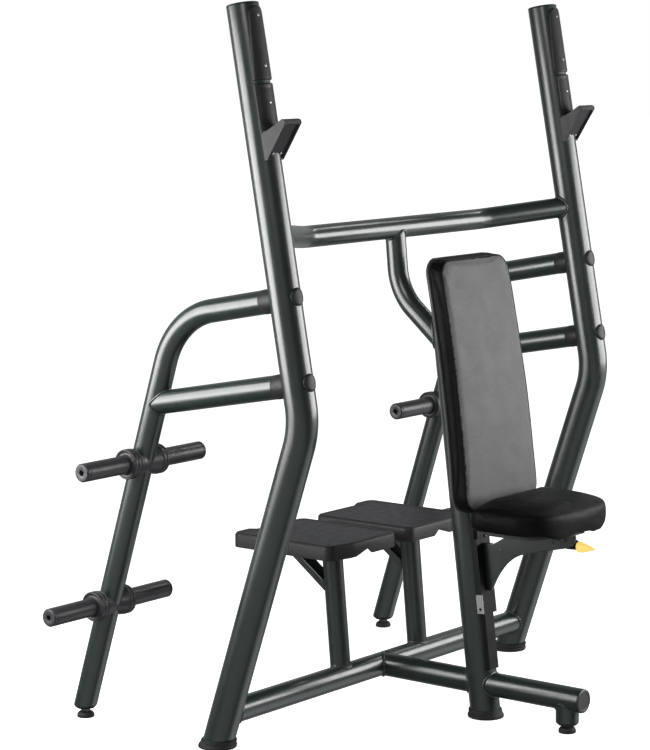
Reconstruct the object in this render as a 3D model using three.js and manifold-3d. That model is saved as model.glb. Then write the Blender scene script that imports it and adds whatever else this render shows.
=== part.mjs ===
// Seated olympic press bench: two bent uprights with bar hooks, rear frames that carry plate storage pegs,
// a fixed backrest, a height-adjustable seat and two spotter steps.
// Millimetres. X is across the bench, -Y is the way the user faces, +Z is up, and the floor is z = 0.
import * as THREE from 'three';
import { mergeVertices } from 'three/addons/utils/BufferGeometryUtils.js';
import Module from 'manifold-3d';

const wasm = await Module();
wasm.setup();

// ---------------------------------------------------------------- driving dimensions
const GAP = 0.3; // left between pieces that touch
const WALL = 3; // steel tube wall
const SIDES = 12; // facets round a tube
const HOLE_SIDES = 8; // facets round a bolt hole

const HALF_SPACING = 614; // centre plane to the axis of an upright
const UPRIGHT_RADIUS = 38;
const UPRIGHT_FOOT = [104, 0]; // y, z of the axis where it meets the floor
const UPRIGHT_ELBOW = [-174.5, 801];
const UPRIGHT_TOP = [-1, 1766];
const UPRIGHT_BEND = 200;

const BASE_RADIUS = 30; // tubes on the floor
const BRACE_RADIUS = 28.5; // rear frames and braces
const REAR_FOOT = [554, 0];
const REAR_CORNER = [218, 1033];
const REAR_BEND = 195;
const TOP_BRACE_HEIGHT = 1096; // where its axis meets the axis of the upright
const LOWER_BRACE_HEIGHT = 900;
const LOWER_BRACE_REAR_HEIGHT = 818; // where its axis meets the axis of the rear leg
const COLLAR_LENGTH = 23; // spacer between a brace and the upright
const BOLT_RADIUS = 6;
const BOLT_CLEARANCE = 0.6;
const BOLT_HEAD_RADIUS = 22;

const PEG_RADIUS = 22.5;
const PEG_REACH = 212; // leg axis to the tip of a peg
const PEG_COLLAR_RADIUS = 37;
const PEG_COLLAR_REACH = 61;
const PEG_BAR_RADIUS = 15;
const PEG_HEIGHTS = { upper: 671, lower: 304 };

const BASE_HEIGHT = 85; // axis of the tubes on the floor
const CROSSBAR_Y = 75;
const BEAM_FRONT = -540;
const STUB_Y = -496;
const STUB_RADIUS = 28.5;
const STUB_BOTTOM = 28;

const COLUMN_FOOT_Y = -253;
const COLUMN_LEAN = Math.atan(0.1206);
const COLUMN_TOP = 955;

const UPPER_BAR_RADIUS = 27;
const UPPER_BAR_HEIGHT = 1215;
const UPPER_BAR_SETBACK = 28.4; // y of its straight middle
const UPPER_BAR_KNEE = 366; // x of its bends
const UPPER_BAR_END_HEIGHT = 1240;
const HANGER_RADIUS = 26;
const HANGER_KNEE = [15, 1053];
const HANGER_SLOPE = 0.85;

const HOOK_HALF_WIDTH = 30;
const STRIP_THICKNESS = 4.5;

const STEP_TOP = 445;
const STEP_DEPTH = 38; // height of its skirt
const STEP_SKIN = 5;
const POST_X = 162;
const POST_RADIUS = 26;

const BACK_HALF_WIDTH = 155;
const BACK_THICKNESS = 42;
const BACK_SHELL = 10;
const BACK_BOTTOM = 536;
const BACK_TOP = 1157;
const BACK_TOP_HALF_WIDTH = 145;
const BACK_CORNER = 46;

const SEAT_HALF_WIDTH = 175;
const SEAT_BOTTOM = 507;
const SEAT_THICKNESS = 66;
const SEAT_REAR = -312;
const SEAT_FRONT = -540;
const SEAT_NOSE = 126; // how far the round front reaches
const SEAT_SQUARENESS = 3.2; // of the front's curve; 2 is an ellipse
const SEAT_BOARD = 10;

const RAIL_HALF_WIDTH = 25;
const RAIL_FRONT = 41; // distance of its front face ahead of the column's axis
const CARRIAGE_CLEARANCE = 0.5;
const CARRIAGE_WALL = 3;
const BRACKET_HALF_THICKNESS = 4;
const BRACKET_TOP_HALF_WIDTH = 40;
const PLATE_THICKNESS = 5;

const LEVER_PIVOT = [-484.5, 480.5];
const LEVER_ARM = 20; // pivot down to the pull rod
const PIVOT_RADIUS = 5;
const LOCK_X = 12; // the lock pin works beside the seat bracket

// ---------------------------------------------------------------- finishes
const FINISH = {
  paint: { color: 0x26302d, roughness: 0.28, metalness: 0.55 },
  plastic: { color: 0x3a383c, roughness: 0.5, metalness: 0 },
  rubber: { color: 0x2b292b, roughness: 0.8, metalness: 0 },
  cushion: { color: 0x6f6f6f, roughness: 0.55, metalness: 0 },
  seatCushion: { color: 0x151515, roughness: 0.4, metalness: 0 },
  board: { color: 0x141414, roughness: 0.6, metalness: 0 },
  rail: { color: 0x0c0d0d, roughness: 0.45, metalness: 0.3 },
  zinc: { color: 0x8f9494, roughness: 0.35, metalness: 0.9 },
  yellow: { color: 0xf2d675, roughness: 0.35, metalness: 0 },
};

// ---------------------------------------------------------------- solids
const at = (x, y, z) => new THREE.Vector3(x, y, z);
const onSide = ([y, z]) => at(0, y, z);

function toSolid(geometry) {
  const bare = geometry.clone();
  bare.deleteAttribute('normal');
  bare.deleteAttribute('uv');
  const merged = mergeVertices(bare, 1e-3);
  return new wasm.Manifold(
    new wasm.Mesh({
      numProp: 3,
      vertProperties: new Float32Array(merged.attributes.position.array),
      triVerts: new Uint32Array(merged.index.array),
    }),
  );
}

function toGeometry(solid) {
  const { vertProperties, triVerts } = solid.getMesh();
  const geometry = new THREE.BufferGeometry();
  geometry.setAttribute('position', new THREE.BufferAttribute(vertProperties, 3));
  geometry.setIndex(new THREE.BufferAttribute(triVerts, 1));
  geometry.computeVertexNormals();
  return geometry;
}

function piece(name, solid, finish) {
  const mesh = new THREE.Mesh(toGeometry(solid), new THREE.MeshStandardMaterial(FINISH[finish]));
  mesh.name = name;
  return mesh;
}

// A run of pipe through corner points, with a bend at each inner corner. It has stations only where it turns.
class PipeRun extends THREE.Curve {
  constructor(corners, bendRadius = 0, bendSteps = 4) {
    super();
    this.stations = [];
    const directions = corners.slice(1).map((corner, i) => corner.clone().sub(corners[i]).normalize());
    this.addStation(corners[0], directions[0]);
    for (let i = 1; i < corners.length - 1; i++) {
      this.addBend(corners[i], directions[i - 1], directions[i], bendRadius, bendSteps);
    }
    this.addStation(corners.at(-1), directions.at(-1));
  }

  addStation(position, tangent) {
    this.stations.push({ position: position.clone(), tangent: tangent.clone() });
  }

  addBend(corner, before, after, radius, steps) {
    const turn = before.angleTo(after);
    const reach = radius * Math.tan(turn / 2);
    const inward = after.clone().addScaledVector(before, -after.dot(before)).normalize();
    const start = corner.clone().addScaledVector(before, -reach);
    for (let i = 0; i <= steps; i++) {
      const angle = (turn * i) / steps;
      const position = start
        .clone()
        .addScaledVector(before, radius * Math.sin(angle))
        .addScaledVector(inward, radius * (1 - Math.cos(angle)));
      const tangent = before.clone().multiplyScalar(Math.cos(angle)).addScaledVector(inward, Math.sin(angle));
      this.addStation(position, tangent);
    }
  }

  station(t) {
    return this.stations[Math.round(t * (this.stations.length - 1))];
  }

  getPoint(t) {
    return this.station(t).position.clone();
  }

  getTangent(t) {
    return this.station(t).tangent.clone();
  }

  getUtoTmapping(u) {
    return u;
  }
}

function pipe(run, outerRadius, innerRadius = 0, sides = SIDES) {
  const section = new THREE.Shape().absarc(0, 0, outerRadius, 0, 2 * Math.PI);
  if (innerRadius > 0) {
    section.holes.push(new THREE.Path().absarc(0, 0, innerRadius, 0, 2 * Math.PI, true));
  }
  return toSolid(
    new THREE.ExtrudeGeometry(section, {
      steps: run.stations.length - 1,
      extrudePath: run,
      curveSegments: sides / 2,
      bevelEnabled: false,
    }),
  );
}

const rod = (from, to, radius, sides = SIDES) => pipe(new PipeRun([from, to]), radius, 0, sides);
const tube = (run, radius) => pipe(run, radius, radius - WALL);

function block(low, high) {
  const size = high.clone().sub(low);
  const geometry = new THREE.BoxGeometry(size.x, size.y, size.z);
  const centre = low.clone().add(high).multiplyScalar(0.5);
  return toSolid(geometry.translate(centre.x, centre.y, centre.z));
}

function outline(points) {
  return new THREE.Shape(points.map(([u, v]) => new THREE.Vector2(u, v)));
}

// Extrudes an outline of (y, z) points from x = low to x = high.
function slabAcross(shape, low, high, curveSegments = 6) {
  const geometry = new THREE.ExtrudeGeometry(shape, { depth: high - low, bevelEnabled: false, curveSegments });
  const turn = new THREE.Matrix4().makeBasis(at(0, 1, 0), at(0, 0, 1), at(1, 0, 0));
  return toSolid(geometry.applyMatrix4(turn).translate(low, 0, 0));
}

// Extrudes an outline of (x, y) points from z = low to z = high.
function slabUp(shape, low, high, curveSegments = 6) {
  const geometry = new THREE.ExtrudeGeometry(shape, { depth: high - low, bevelEnabled: false, curveSegments });
  return toSolid(geometry.translate(0, 0, low));
}

// Extrudes an outline of (x, z) points from y = low to y = high.
function slabForward(shape, low, high, curveSegments = 6) {
  const geometry = new THREE.ExtrudeGeometry(shape, { depth: high - low, bevelEnabled: false, curveSegments });
  const turn = new THREE.Matrix4().makeBasis(at(1, 0, 0), at(0, 0, 1), at(0, -1, 0));
  return toSolid(geometry.applyMatrix4(turn).translate(0, high, 0));
}

const FAR = 400; // half-size of a cutting block

function cutBelow(solid, z) {
  return solid.subtract(block(at(-2 * FAR, -2 * FAR, z - FAR), at(2 * FAR, 2 * FAR, z)));
}

// ---------------------------------------------------------------- axes of the frame
const between = (a, b, share) => a + (b - a) * share;

function uprightY(z) {
  const [low, high] = z > UPRIGHT_ELBOW[1] ? [UPRIGHT_ELBOW, UPRIGHT_TOP] : [UPRIGHT_FOOT, UPRIGHT_ELBOW];
  return between(low[0], high[0], (z - low[1]) / (high[1] - low[1]));
}

const rearLegY = (z) => between(REAR_FOOT[0], REAR_CORNER[0], z / REAR_CORNER[1]);
const columnY = (z) => COLUMN_FOOT_Y + z * Math.tan(COLUMN_LEAN);

function extended(from, to, beyond) {
  return to.clone().add(to.clone().sub(from).setLength(beyond));
}

const footPoint = onSide(UPRIGHT_FOOT);
const elbowPoint = onSide(UPRIGHT_ELBOW);
const topPoint = onSide(UPRIGHT_TOP);
const uprightRun = new PipeRun([extended(elbowPoint, footPoint, 60), elbowPoint, topPoint], UPRIGHT_BEND);
const uprightCutter = pipe(
  new PipeRun([extended(elbowPoint, footPoint, 60), elbowPoint, extended(elbowPoint, topPoint, 60)], UPRIGHT_BEND),
  UPRIGHT_RADIUS + GAP,
);

const topBraceFront = at(0, uprightY(TOP_BRACE_HEIGHT), TOP_BRACE_HEIGHT);
const lowerBraceFront = at(0, uprightY(LOWER_BRACE_HEIGHT), LOWER_BRACE_HEIGHT);
const lowerBraceRear = at(0, rearLegY(LOWER_BRACE_REAR_HEIGHT), LOWER_BRACE_REAR_HEIGHT);
const rearCornerPoint = onSide(REAR_CORNER);
const rearFootPoint = onSide(REAR_FOOT);

// A bolted joint of a brace to an upright: the bolt's axis and where the collar and the tube start on it.
function braceJoint(front, rear) {
  const along = rear.clone().sub(front).normalize();
  return {
    along,
    point: (distance) => front.clone().addScaledVector(along, distance),
    collarEnd: UPRIGHT_RADIUS + COLLAR_LENGTH,
  };
}

const braceJoints = {
  upper: braceJoint(topBraceFront, rearCornerPoint),
  lower: braceJoint(lowerBraceFront, lowerBraceRear),
};
const pegAxes = Object.entries(PEG_HEIGHTS).map(([level, z]) => ({ level, y: rearLegY(z), z }));

function acrossRod(y, z, from, to, radius, sides = SIDES) {
  return rod(at(from, y, z), at(to, y, z), radius, sides);
}

function boltHole(joint, from, to) {
  return rod(joint.point(from), joint.point(to), BOLT_RADIUS + BOLT_CLEARANCE, HOLE_SIDES);
}

// ---------------------------------------------------------------- one side of the rack, in the plane x = 0
const TOP_CAP = 4;
const FOOT_FLOOR = 6;
const FOOT_HEIGHT = 21;
const FOOT_RADIUS = 45;

function upright() {
  let solid = cutBelow(tube(uprightRun, UPRIGHT_RADIUS), FOOT_FLOOR);
  for (const joint of Object.values(braceJoints)) {
    solid = solid.subtract(boltHole(joint, -2 * UPRIGHT_RADIUS, 2 * UPRIGHT_RADIUS));
  }
  return solid;
}

function uprightTopCap() {
  const top = topPoint;
  const down = elbowPoint.clone().sub(top).normalize();
  const flange = rod(top.clone().addScaledVector(down, -TOP_CAP), top.clone().addScaledVector(down, -GAP), 37.5);
  const plug = rod(top.clone().addScaledVector(down, -1), top.clone().addScaledVector(down, 22), 34.4);
  return flange.add(plug);
}

// A rubber cup round the foot of a leaning tube.
function footCup(foot, above) {
  const down = extended(above, foot, 60);
  const up = foot.clone().lerp(above, 60 / foot.distanceTo(above));
  const cup = cutBelow(rod(down, up, FOOT_RADIUS), 0);
  const trimmed = cup.subtract(block(at(-FAR, foot.y - FAR, FOOT_HEIGHT), at(FAR, foot.y + FAR, FAR)));
  const socket = cutBelow(rod(down, up, UPRIGHT_RADIUS + GAP), FOOT_FLOOR - GAP);
  return trimmed.subtract(socket);
}

const REAR_LEG_BOTTOM = 32;
const END_PLATE = 5;

// The rear leg and the top brace are one bent tube, closed by a plate under the leg and one at the front end.
function rearFrame() {
  const joint = braceJoints.upper;
  const frontEnd = joint.point(joint.collarEnd + GAP);
  const run = new PipeRun([extended(rearCornerPoint, rearFootPoint, 60), rearCornerPoint, frontEnd], REAR_BEND, 6);
  const envelope = cutBelow(pipe(run, BRACE_RADIUS), REAR_LEG_BOTTOM);
  const frontPlate = rod(frontEnd, joint.point(joint.collarEnd + END_PLATE), BRACE_RADIUS - WALL + 0.2);
  const bottomPlate = block(at(-FAR, 0, REAR_LEG_BOTTOM), at(FAR, 900, REAR_LEG_BOTTOM + END_PLATE));
  let solid = cutBelow(tube(run, BRACE_RADIUS), REAR_LEG_BOTTOM);
  solid = solid.add(envelope.intersect(bottomPlate)).add(frontPlate);
  solid = solid.subtract(boltHole(joint, UPRIGHT_RADIUS, joint.collarEnd + 30));
  const stemY = rearLegY(REAR_LEG_BOTTOM);
  solid = solid.subtract(rod(at(0, stemY, 0), at(0, stemY, REAR_LEG_BOTTOM + 20), STEM_RADIUS + BOLT_CLEARANCE, HOLE_SIDES));
  for (const { y, z } of pegAxes) {
    solid = solid.subtract(acrossRod(y, z, -60, 60, PEG_BAR_RADIUS + GAP, 12));
  }
  return solid;
}

function lowerBrace() {
  const joint = braceJoints.lower;
  const frontEnd = joint.point(joint.collarEnd + GAP);
  const legCutter = rod(rearFootPoint, rearCornerPoint, BRACE_RADIUS + GAP);
  let solid = tube(new PipeRun([frontEnd, lowerBraceRear]), BRACE_RADIUS);
  solid = solid.add(rod(frontEnd, joint.point(joint.collarEnd + END_PLATE), BRACE_RADIUS - WALL + 0.2));
  return solid.subtract(legCutter).subtract(boltHole(joint, UPRIGHT_RADIUS, joint.collarEnd + 30));
}

function braceCollar(joint) {
  const solid = rod(joint.point(UPRIGHT_RADIUS - 12), joint.point(joint.collarEnd), BRACE_RADIUS + 1);
  return solid.subtract(uprightCutter).subtract(boltHole(joint, 0, joint.collarEnd + 10));
}

// The bolt passes through the upright and the collar into the end of the brace. Its head is saddled to the tube.
function braceBolt(joint) {
  const head = rod(joint.point(-UPRIGHT_RADIUS - 4), joint.point(-UPRIGHT_RADIUS + 12), BOLT_HEAD_RADIUS);
  const shank = rod(joint.point(-UPRIGHT_RADIUS - 2), joint.point(joint.collarEnd + 22), BOLT_RADIUS, HOLE_SIDES);
  return head.subtract(uprightCutter).add(shank);
}

const PEG_CHAMFER = 4;
const SOCKET_RADIUS = 7;
const SOCKET_DEPTH = 12;

// A moulded sleeve with a flared collar that saddles the leg. It slides on the bar from one side.
function storagePeg(y, z, side) {
  const profile = [
    [PEG_BAR_RADIUS + GAP, 0],
    [PEG_COLLAR_RADIUS, 0],
    [PEG_COLLAR_RADIUS, PEG_COLLAR_REACH - 3],
    [PEG_COLLAR_RADIUS - 3, PEG_COLLAR_REACH],
    [PEG_RADIUS, PEG_COLLAR_REACH],
    [PEG_RADIUS, PEG_REACH - PEG_CHAMFER],
    [PEG_RADIUS - PEG_CHAMFER, PEG_REACH],
    [SOCKET_RADIUS, PEG_REACH],
    [SOCKET_RADIUS, PEG_REACH - SOCKET_DEPTH],
    [PEG_BAR_RADIUS + GAP, PEG_REACH - SOCKET_DEPTH],
  ];
  const points = profile.map(([r, x]) => new THREE.Vector2(r, x));
  points.push(points[0].clone());
  const geometry = new THREE.LatheGeometry(points, 12);
  geometry.rotateZ(-side * Math.PI / 2).translate(0, y, z);
  const legCutter = rod(rearFootPoint, extended(rearFootPoint, rearCornerPoint, 0), BRACE_RADIUS + GAP);
  return toSolid(geometry).subtract(legCutter);
}

const pegBar = (y, z) => acrossRod(y, z, 14 - PEG_REACH + GAP, PEG_REACH - 14 - GAP, PEG_BAR_RADIUS, 12);

const STEM_RADIUS = 5;

// A threaded foot: a pad on the floor, a hexagonal nut and a stem that enters the tube above.
function levellingFoot(y, tubeBottom) {
  const pad = rod(at(0, y, 0), at(0, y, 14), 21.5);
  const nut = rod(at(0, y, 13), at(0, y, tubeBottom - GAP), 11, 6);
  const stem = rod(at(0, y, 13), at(0, y, tubeBottom + 22), STEM_RADIUS, HOLE_SIDES);
  return pad.add(nut).add(stem);
}

// Points of the side outline of the bar hook's arm: distance ahead of the upright's axis, and height.
const HOOK_OUTLINE = [
  [18, 1415],
  [31, 1415],
  [101, 1499],
  [100, 1508],
  [92, 1509],
  [44, 1482],
  [18, 1474],
];
const HOOK_TOP = 1584;
const STRIP_BOTTOM = 1590;
const STRIP_TOP = 1760;

const aheadOfUpright = (distance, z) => [uprightY(z) - distance, z];

// A shell round the upright, as thick as the guard strip.
function uprightShell() {
  const low = onSide([uprightY(STRIP_BOTTOM - 200), STRIP_BOTTOM - 200]);
  return rod(low, topPoint, UPRIGHT_RADIUS + STRIP_THICKNESS, 20);
}

// A wedge-shaped arm below a plate that wraps the front of the upright.
function barHook() {
  const side = outline(HOOK_OUTLINE.map(([distance, z]) => aheadOfUpright(distance, z)));
  const arm = slabAcross(side, -HOOK_HALF_WIDTH, HOOK_HALF_WIDTH);
  const plateView = block(at(-HOOK_HALF_WIDTH, -FAR, 1440), at(HOOK_HALF_WIDTH, uprightY(1440) - 10, HOOK_TOP));
  return arm.add(uprightShell().intersect(plateView)).subtract(uprightCutter);
}

// A guard wrapped round the front of the upright above the hook, with a rounded top.
function guardStrip() {
  const round = 22;
  const front = new THREE.Shape();
  front.moveTo(-29, STRIP_BOTTOM);
  front.lineTo(29, STRIP_BOTTOM);
  front.absarc(0, STRIP_TOP - round, round, 0, Math.PI);
  return uprightShell().intersect(slabForward(front, -FAR, uprightY(STRIP_BOTTOM) - 10)).subtract(uprightCutter);
}

function rackSide(label, x) {
  const side = new THREE.Group();
  side.position.x = x;
  side.add(
    piece(`upright_${label}`, upright(), 'paint'),
    piece(`upright_top_cap_${label}`, uprightTopCap(), 'rubber'),
    piece(`upright_foot_${label}`, footCup(footPoint, elbowPoint), 'rubber'),
    piece(`rear_frame_${label}`, rearFrame(), 'paint'),
    piece(`lower_brace_${label}`, lowerBrace(), 'paint'),
    piece(`rear_levelling_foot_${label}`, levellingFoot(rearLegY(REAR_LEG_BOTTOM), REAR_LEG_BOTTOM), 'rubber'),
    piece(`bar_hook_${label}`, barHook(), 'plastic'),
    piece(`guard_strip_${label}`, guardStrip(), 'plastic'),
  );
  for (const [level, joint] of Object.entries(braceJoints)) {
    side.add(piece(`brace_collar_${level}_${label}`, braceCollar(joint), 'plastic'));
    side.add(piece(`brace_bolt_${level}_${label}`, braceBolt(joint), 'plastic'));
  }
  for (const { level, y, z } of pegAxes) {
    side.add(piece(`peg_bar_${level}_${label}`, pegBar(y, z), 'zinc'));
    side.add(piece(`storage_peg_${level}_${label}_a`, storagePeg(y, z, -1), 'plastic'));
    side.add(piece(`storage_peg_${level}_${label}_b`, storagePeg(y, z, 1), 'plastic'));
  }
  return side;
}

// ---------------------------------------------------------------- tubes across the middle
const atSides = (cutter) => cutter.translate([-HALF_SPACING, 0, 0]).add(cutter.translate([HALF_SPACING, 0, 0]));
const uprightCutters = atSides(uprightCutter);

const columnPoint = (z) => at(0, columnY(z), z);
const columnCutter = rod(columnPoint(-60), columnPoint(COLUMN_TOP + 60), UPRIGHT_RADIUS + GAP);
const crossbarRun = new PipeRun([at(-HALF_SPACING, CROSSBAR_Y, BASE_HEIGHT), at(HALF_SPACING, CROSSBAR_Y, BASE_HEIGHT)]);
const crossbarCutter = pipe(crossbarRun, BASE_RADIUS + GAP);
const upperBarRun = new PipeRun(
  [
    at(-HALF_SPACING, uprightY(UPPER_BAR_END_HEIGHT), UPPER_BAR_END_HEIGHT),
    at(-UPPER_BAR_KNEE, UPPER_BAR_SETBACK, UPPER_BAR_HEIGHT),
    at(UPPER_BAR_KNEE, UPPER_BAR_SETBACK, UPPER_BAR_HEIGHT),
    at(HALF_SPACING, uprightY(UPPER_BAR_END_HEIGHT), UPPER_BAR_END_HEIGHT),
  ],
  120,
  4,
);

const baseCrossbar = () => tube(crossbarRun, BASE_RADIUS).subtract(uprightCutters);
const upperCrossbar = () => tube(upperBarRun, UPPER_BAR_RADIUS).subtract(uprightCutters);
const column = () => cutBelow(tube(new PipeRun([columnPoint(-40), columnPoint(COLUMN_TOP)]), UPRIGHT_RADIUS), FOOT_FLOOR);

function hangerTube() {
  const meetsColumn = HANGER_KNEE[1] - HANGER_SLOPE * 157;
  const run = new PipeRun(
    [at(0, UPPER_BAR_SETBACK, UPPER_BAR_HEIGHT), onSide(HANGER_KNEE), at(0, columnY(meetsColumn), meetsColumn)],
    150,
    6,
  );
  const barCutter = pipe(upperBarRun, UPPER_BAR_RADIUS + GAP);
  return tube(run, HANGER_RADIUS).subtract(barCutter).subtract(columnCutter);
}

function rearBeam() {
  const run = new PipeRun([at(0, columnY(BASE_HEIGHT), BASE_HEIGHT), at(0, CROSSBAR_Y, BASE_HEIGHT)]);
  return tube(run, BASE_RADIUS).subtract(columnCutter).subtract(crossbarCutter);
}

// The front beam carries a short leg with a threaded foot.
function frontBeam() {
  const run = new PipeRun([at(0, BEAM_FRONT, BASE_HEIGHT), at(0, columnY(BASE_HEIGHT), BASE_HEIGHT)]);
  const stubRun = new PipeRun([at(0, STUB_Y, STUB_BOTTOM), at(0, STUB_Y, BASE_HEIGHT)]);
  const stub = tube(stubRun, STUB_RADIUS).subtract(pipe(run, BASE_RADIUS - 1));
  const floor = rod(at(0, STUB_Y, STUB_BOTTOM), at(0, STUB_Y, STUB_BOTTOM + END_PLATE), STUB_RADIUS - 1);
  const hole = rod(at(0, STUB_Y, 0), at(0, STUB_Y, STUB_BOTTOM + 12), STEM_RADIUS + BOLT_CLEARANCE, HOLE_SIDES);
  const vent = rod(at(0, STUB_Y, STUB_BOTTOM + 8), at(0, STUB_Y, BASE_HEIGHT), 8, HOLE_SIDES);
  const solid = tube(run, BASE_RADIUS).subtract(columnCutter).add(stub).add(floor);
  return solid.subtract(hole).subtract(vent);
}

function beamEndCap() {
  const flange = rod(at(0, BEAM_FRONT - 5, BASE_HEIGHT), at(0, BEAM_FRONT - GAP, BASE_HEIGHT), 29.5);
  return flange.add(rod(at(0, BEAM_FRONT - 1, BASE_HEIGHT), at(0, BEAM_FRONT + 18, BASE_HEIGHT), 26.4));
}

// ---------------------------------------------------------------- spotter steps
const POST_BOTTOM = [82.6, 101];
const POST_HEAD = [105.3, 370];
const postY = (z) => between(POST_BOTTOM[0], POST_HEAD[0], (z - POST_BOTTOM[1]) / (POST_HEAD[1] - POST_BOTTOM[1]));
const STEP_UNDERSIDE = STEP_TOP - 6; // of its top skin
const POST_PLATE = 5;

// Plan of the right-hand step, from its inner front corner round to its inner rear corner.
function stepPlan(inset) {
  const low = 25 + inset;
  const high = 288 - inset;
  const front = 2 + inset;
  const corner = 24 - inset;
  const shape = new THREE.Shape();
  shape.absarc(low + corner, front + corner, corner, Math.PI, 1.5 * Math.PI);
  shape.absarc(high - corner, front + corner + 10, corner, -Math.PI / 2, 0);
  shape.absarc(high - corner, 336 - inset - corner, corner, 0, Math.PI / 2);
  shape.lineTo(219 + inset, 336 - inset);
  shape.lineTo(207 + inset, 318 - inset);
  shape.absarc(low + corner, 318 - inset - corner, corner, Math.PI / 2, Math.PI);
  return shape;
}

// A hollow moulded tray, open underneath, with a V notch in its front skirt.
function stepTray(side) {
  const skirtBottom = STEP_TOP - STEP_DEPTH;
  const shell = slabUp(stepPlan(0), skirtBottom, STEP_TOP, 5);
  const hollow = slabUp(stepPlan(STEP_SKIN), skirtBottom - 1, STEP_UNDERSIDE, 4);
  const notch = outline([
    [132, skirtBottom - 1],
    [150, skirtBottom + 14],
    [196, skirtBottom - 1],
  ]);
  const tray = shell.subtract(hollow).subtract(slabForward(notch, -20, 40));
  return side > 0 ? tray : tray.mirror([1, 0, 0]);
}

// The post, its head plate and the strut behind it are one welding.
function stepPost() {
  const headZ = STEP_UNDERSIDE - GAP;
  const plateZ = headZ - POST_PLATE;
  const run = new PipeRun([at(0, postY(BASE_HEIGHT), BASE_HEIGHT), at(0, postY(plateZ + 1), plateZ + 1)]);
  const plate = block(at(-70, postY(plateZ) - 60, plateZ), at(70, postY(plateZ) + 190, headZ));
  const strut = outline([
    [postY(300) + 18, 300],
    [postY(plateZ) + 188, plateZ + 1],
    [postY(plateZ) + 152, plateZ + 1],
    [postY(330) + 18, 330],
  ]);
  const solid = tube(run, POST_RADIUS).subtract(crossbarCutter).add(plate);
  return solid.add(slabAcross(strut, -20, 20).subtract(pipe(run, POST_RADIUS - 1)));
}

// ---------------------------------------------------------------- backrest
// Side curve of the front face, from the bottom to the top.
const backCurve = new THREE.QuadraticBezierCurve(
  new THREE.Vector2(-308.5, BACK_BOTTOM),
  new THREE.Vector2(-287.5, 829),
  new THREE.Vector2(-216, BACK_TOP),
);

// Front view of the backrest: a long rectangle, a little narrower at the top, with round corners.
function backView(inset) {
  const low = BACK_HALF_WIDTH - inset;
  const high = BACK_TOP_HALF_WIDTH - inset;
  const corner = BACK_CORNER - inset;
  const shape = new THREE.Shape();
  shape.absarc(low - corner, BACK_BOTTOM + inset + corner, corner, -Math.PI / 2, 0);
  shape.absarc(high - corner, BACK_TOP - inset - corner, corner, 0, Math.PI / 2);
  shape.absarc(corner - high, BACK_TOP - inset - corner, corner, Math.PI / 2, Math.PI);
  shape.absarc(corner - low, BACK_BOTTOM + inset + corner, corner, Math.PI, 1.5 * Math.PI);
  return shape;
}

// A layer of the backrest between two depths behind the front face.
function backLayer(front, rear, inset) {
  const steps = 8;
  const face = backCurve.getPoints(steps).map(({ x, y }) => [x, y]);
  const near = face.map(([y, z]) => [y + front, z]);
  const far = face.map(([y, z]) => [y + rear, z]).reverse();
  const side = slabAcross(outline([...near, ...far]), -BACK_HALF_WIDTH, BACK_HALF_WIDTH);
  return side.intersect(slabForward(backView(inset), -FAR, 0, 4));
}

const backrestPad = () => backLayer(0, BACK_THICKNESS, 0);
const backrestShell = () => backLayer(BACK_THICKNESS + GAP, BACK_THICKNESS + BACK_SHELL, 3);

// A folded channel between the column and the shell.
function backrestMount() {
  const [bottom, top] = [610, 925];
  const wall = 4;
  const slab = (halfWidth, spare, front) =>
    slabAcross(
      outline([
        [columnY(bottom - spare) - 110, bottom - spare],
        [columnY(bottom - spare) - 4 + spare, bottom - spare],
        [columnY(top + spare) - 4 + spare, top + spare],
        [columnY(top + spare) - 110, top + spare],
      ]),
      -halfWidth,
      halfWidth,
    ).subtract(backLayer(-100, front, 0));
  const shellRear = BACK_THICKNESS + BACK_SHELL + GAP;
  return slab(34, 0, shellRear).subtract(slab(34 - wall, 5, shellRear + wall)).subtract(columnCutter);
}

// ---------------------------------------------------------------- seat
// Plan of the seat: a blunt round front, and a straight rear with round corners.
function seatPlan(inset) {
  const half = SEAT_HALF_WIDTH - inset;
  const frontReach = SEAT_NOSE - inset;
  const middle = SEAT_FRONT + SEAT_NOSE;
  const rear = SEAT_REAR - inset;
  const corner = 28;
  const steps = 28;
  const bulged = (value) => Math.sign(value) * Math.abs(value) ** (2 / SEAT_SQUARENESS);
  const shape = new THREE.Shape();
  shape.moveTo(-half, middle);
  for (let i = 1; i <= steps; i += 1) {
    const angle = Math.PI * (1 + i / steps);
    shape.lineTo(half * bulged(Math.cos(angle)), middle + frontReach * bulged(Math.sin(angle)));
  }
  shape.absarc(half - corner, rear - corner, corner, 0, Math.PI / 2);
  shape.absarc(-half + corner, rear - corner, corner, Math.PI / 2, Math.PI);
  return shape;
}

function seatPad() {
  const bevel = 12;
  const geometry = new THREE.ExtrudeGeometry(seatPlan(bevel), {
    depth: SEAT_THICKNESS - 2 * bevel,
    bevelThickness: bevel,
    bevelSize: bevel,
    bevelSegments: 2,
    curveSegments: 8,
  });
  return toSolid(geometry.translate(0, 0, SEAT_BOTTOM + bevel));
}

const seatBoard = () => slabUp(seatPlan(22), SEAT_BOTTOM - GAP - SEAT_BOARD, SEAT_BOTTOM - GAP, 6);

const BRACKET_TOP = SEAT_BOTTOM - 2 * GAP - SEAT_BOARD;

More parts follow.
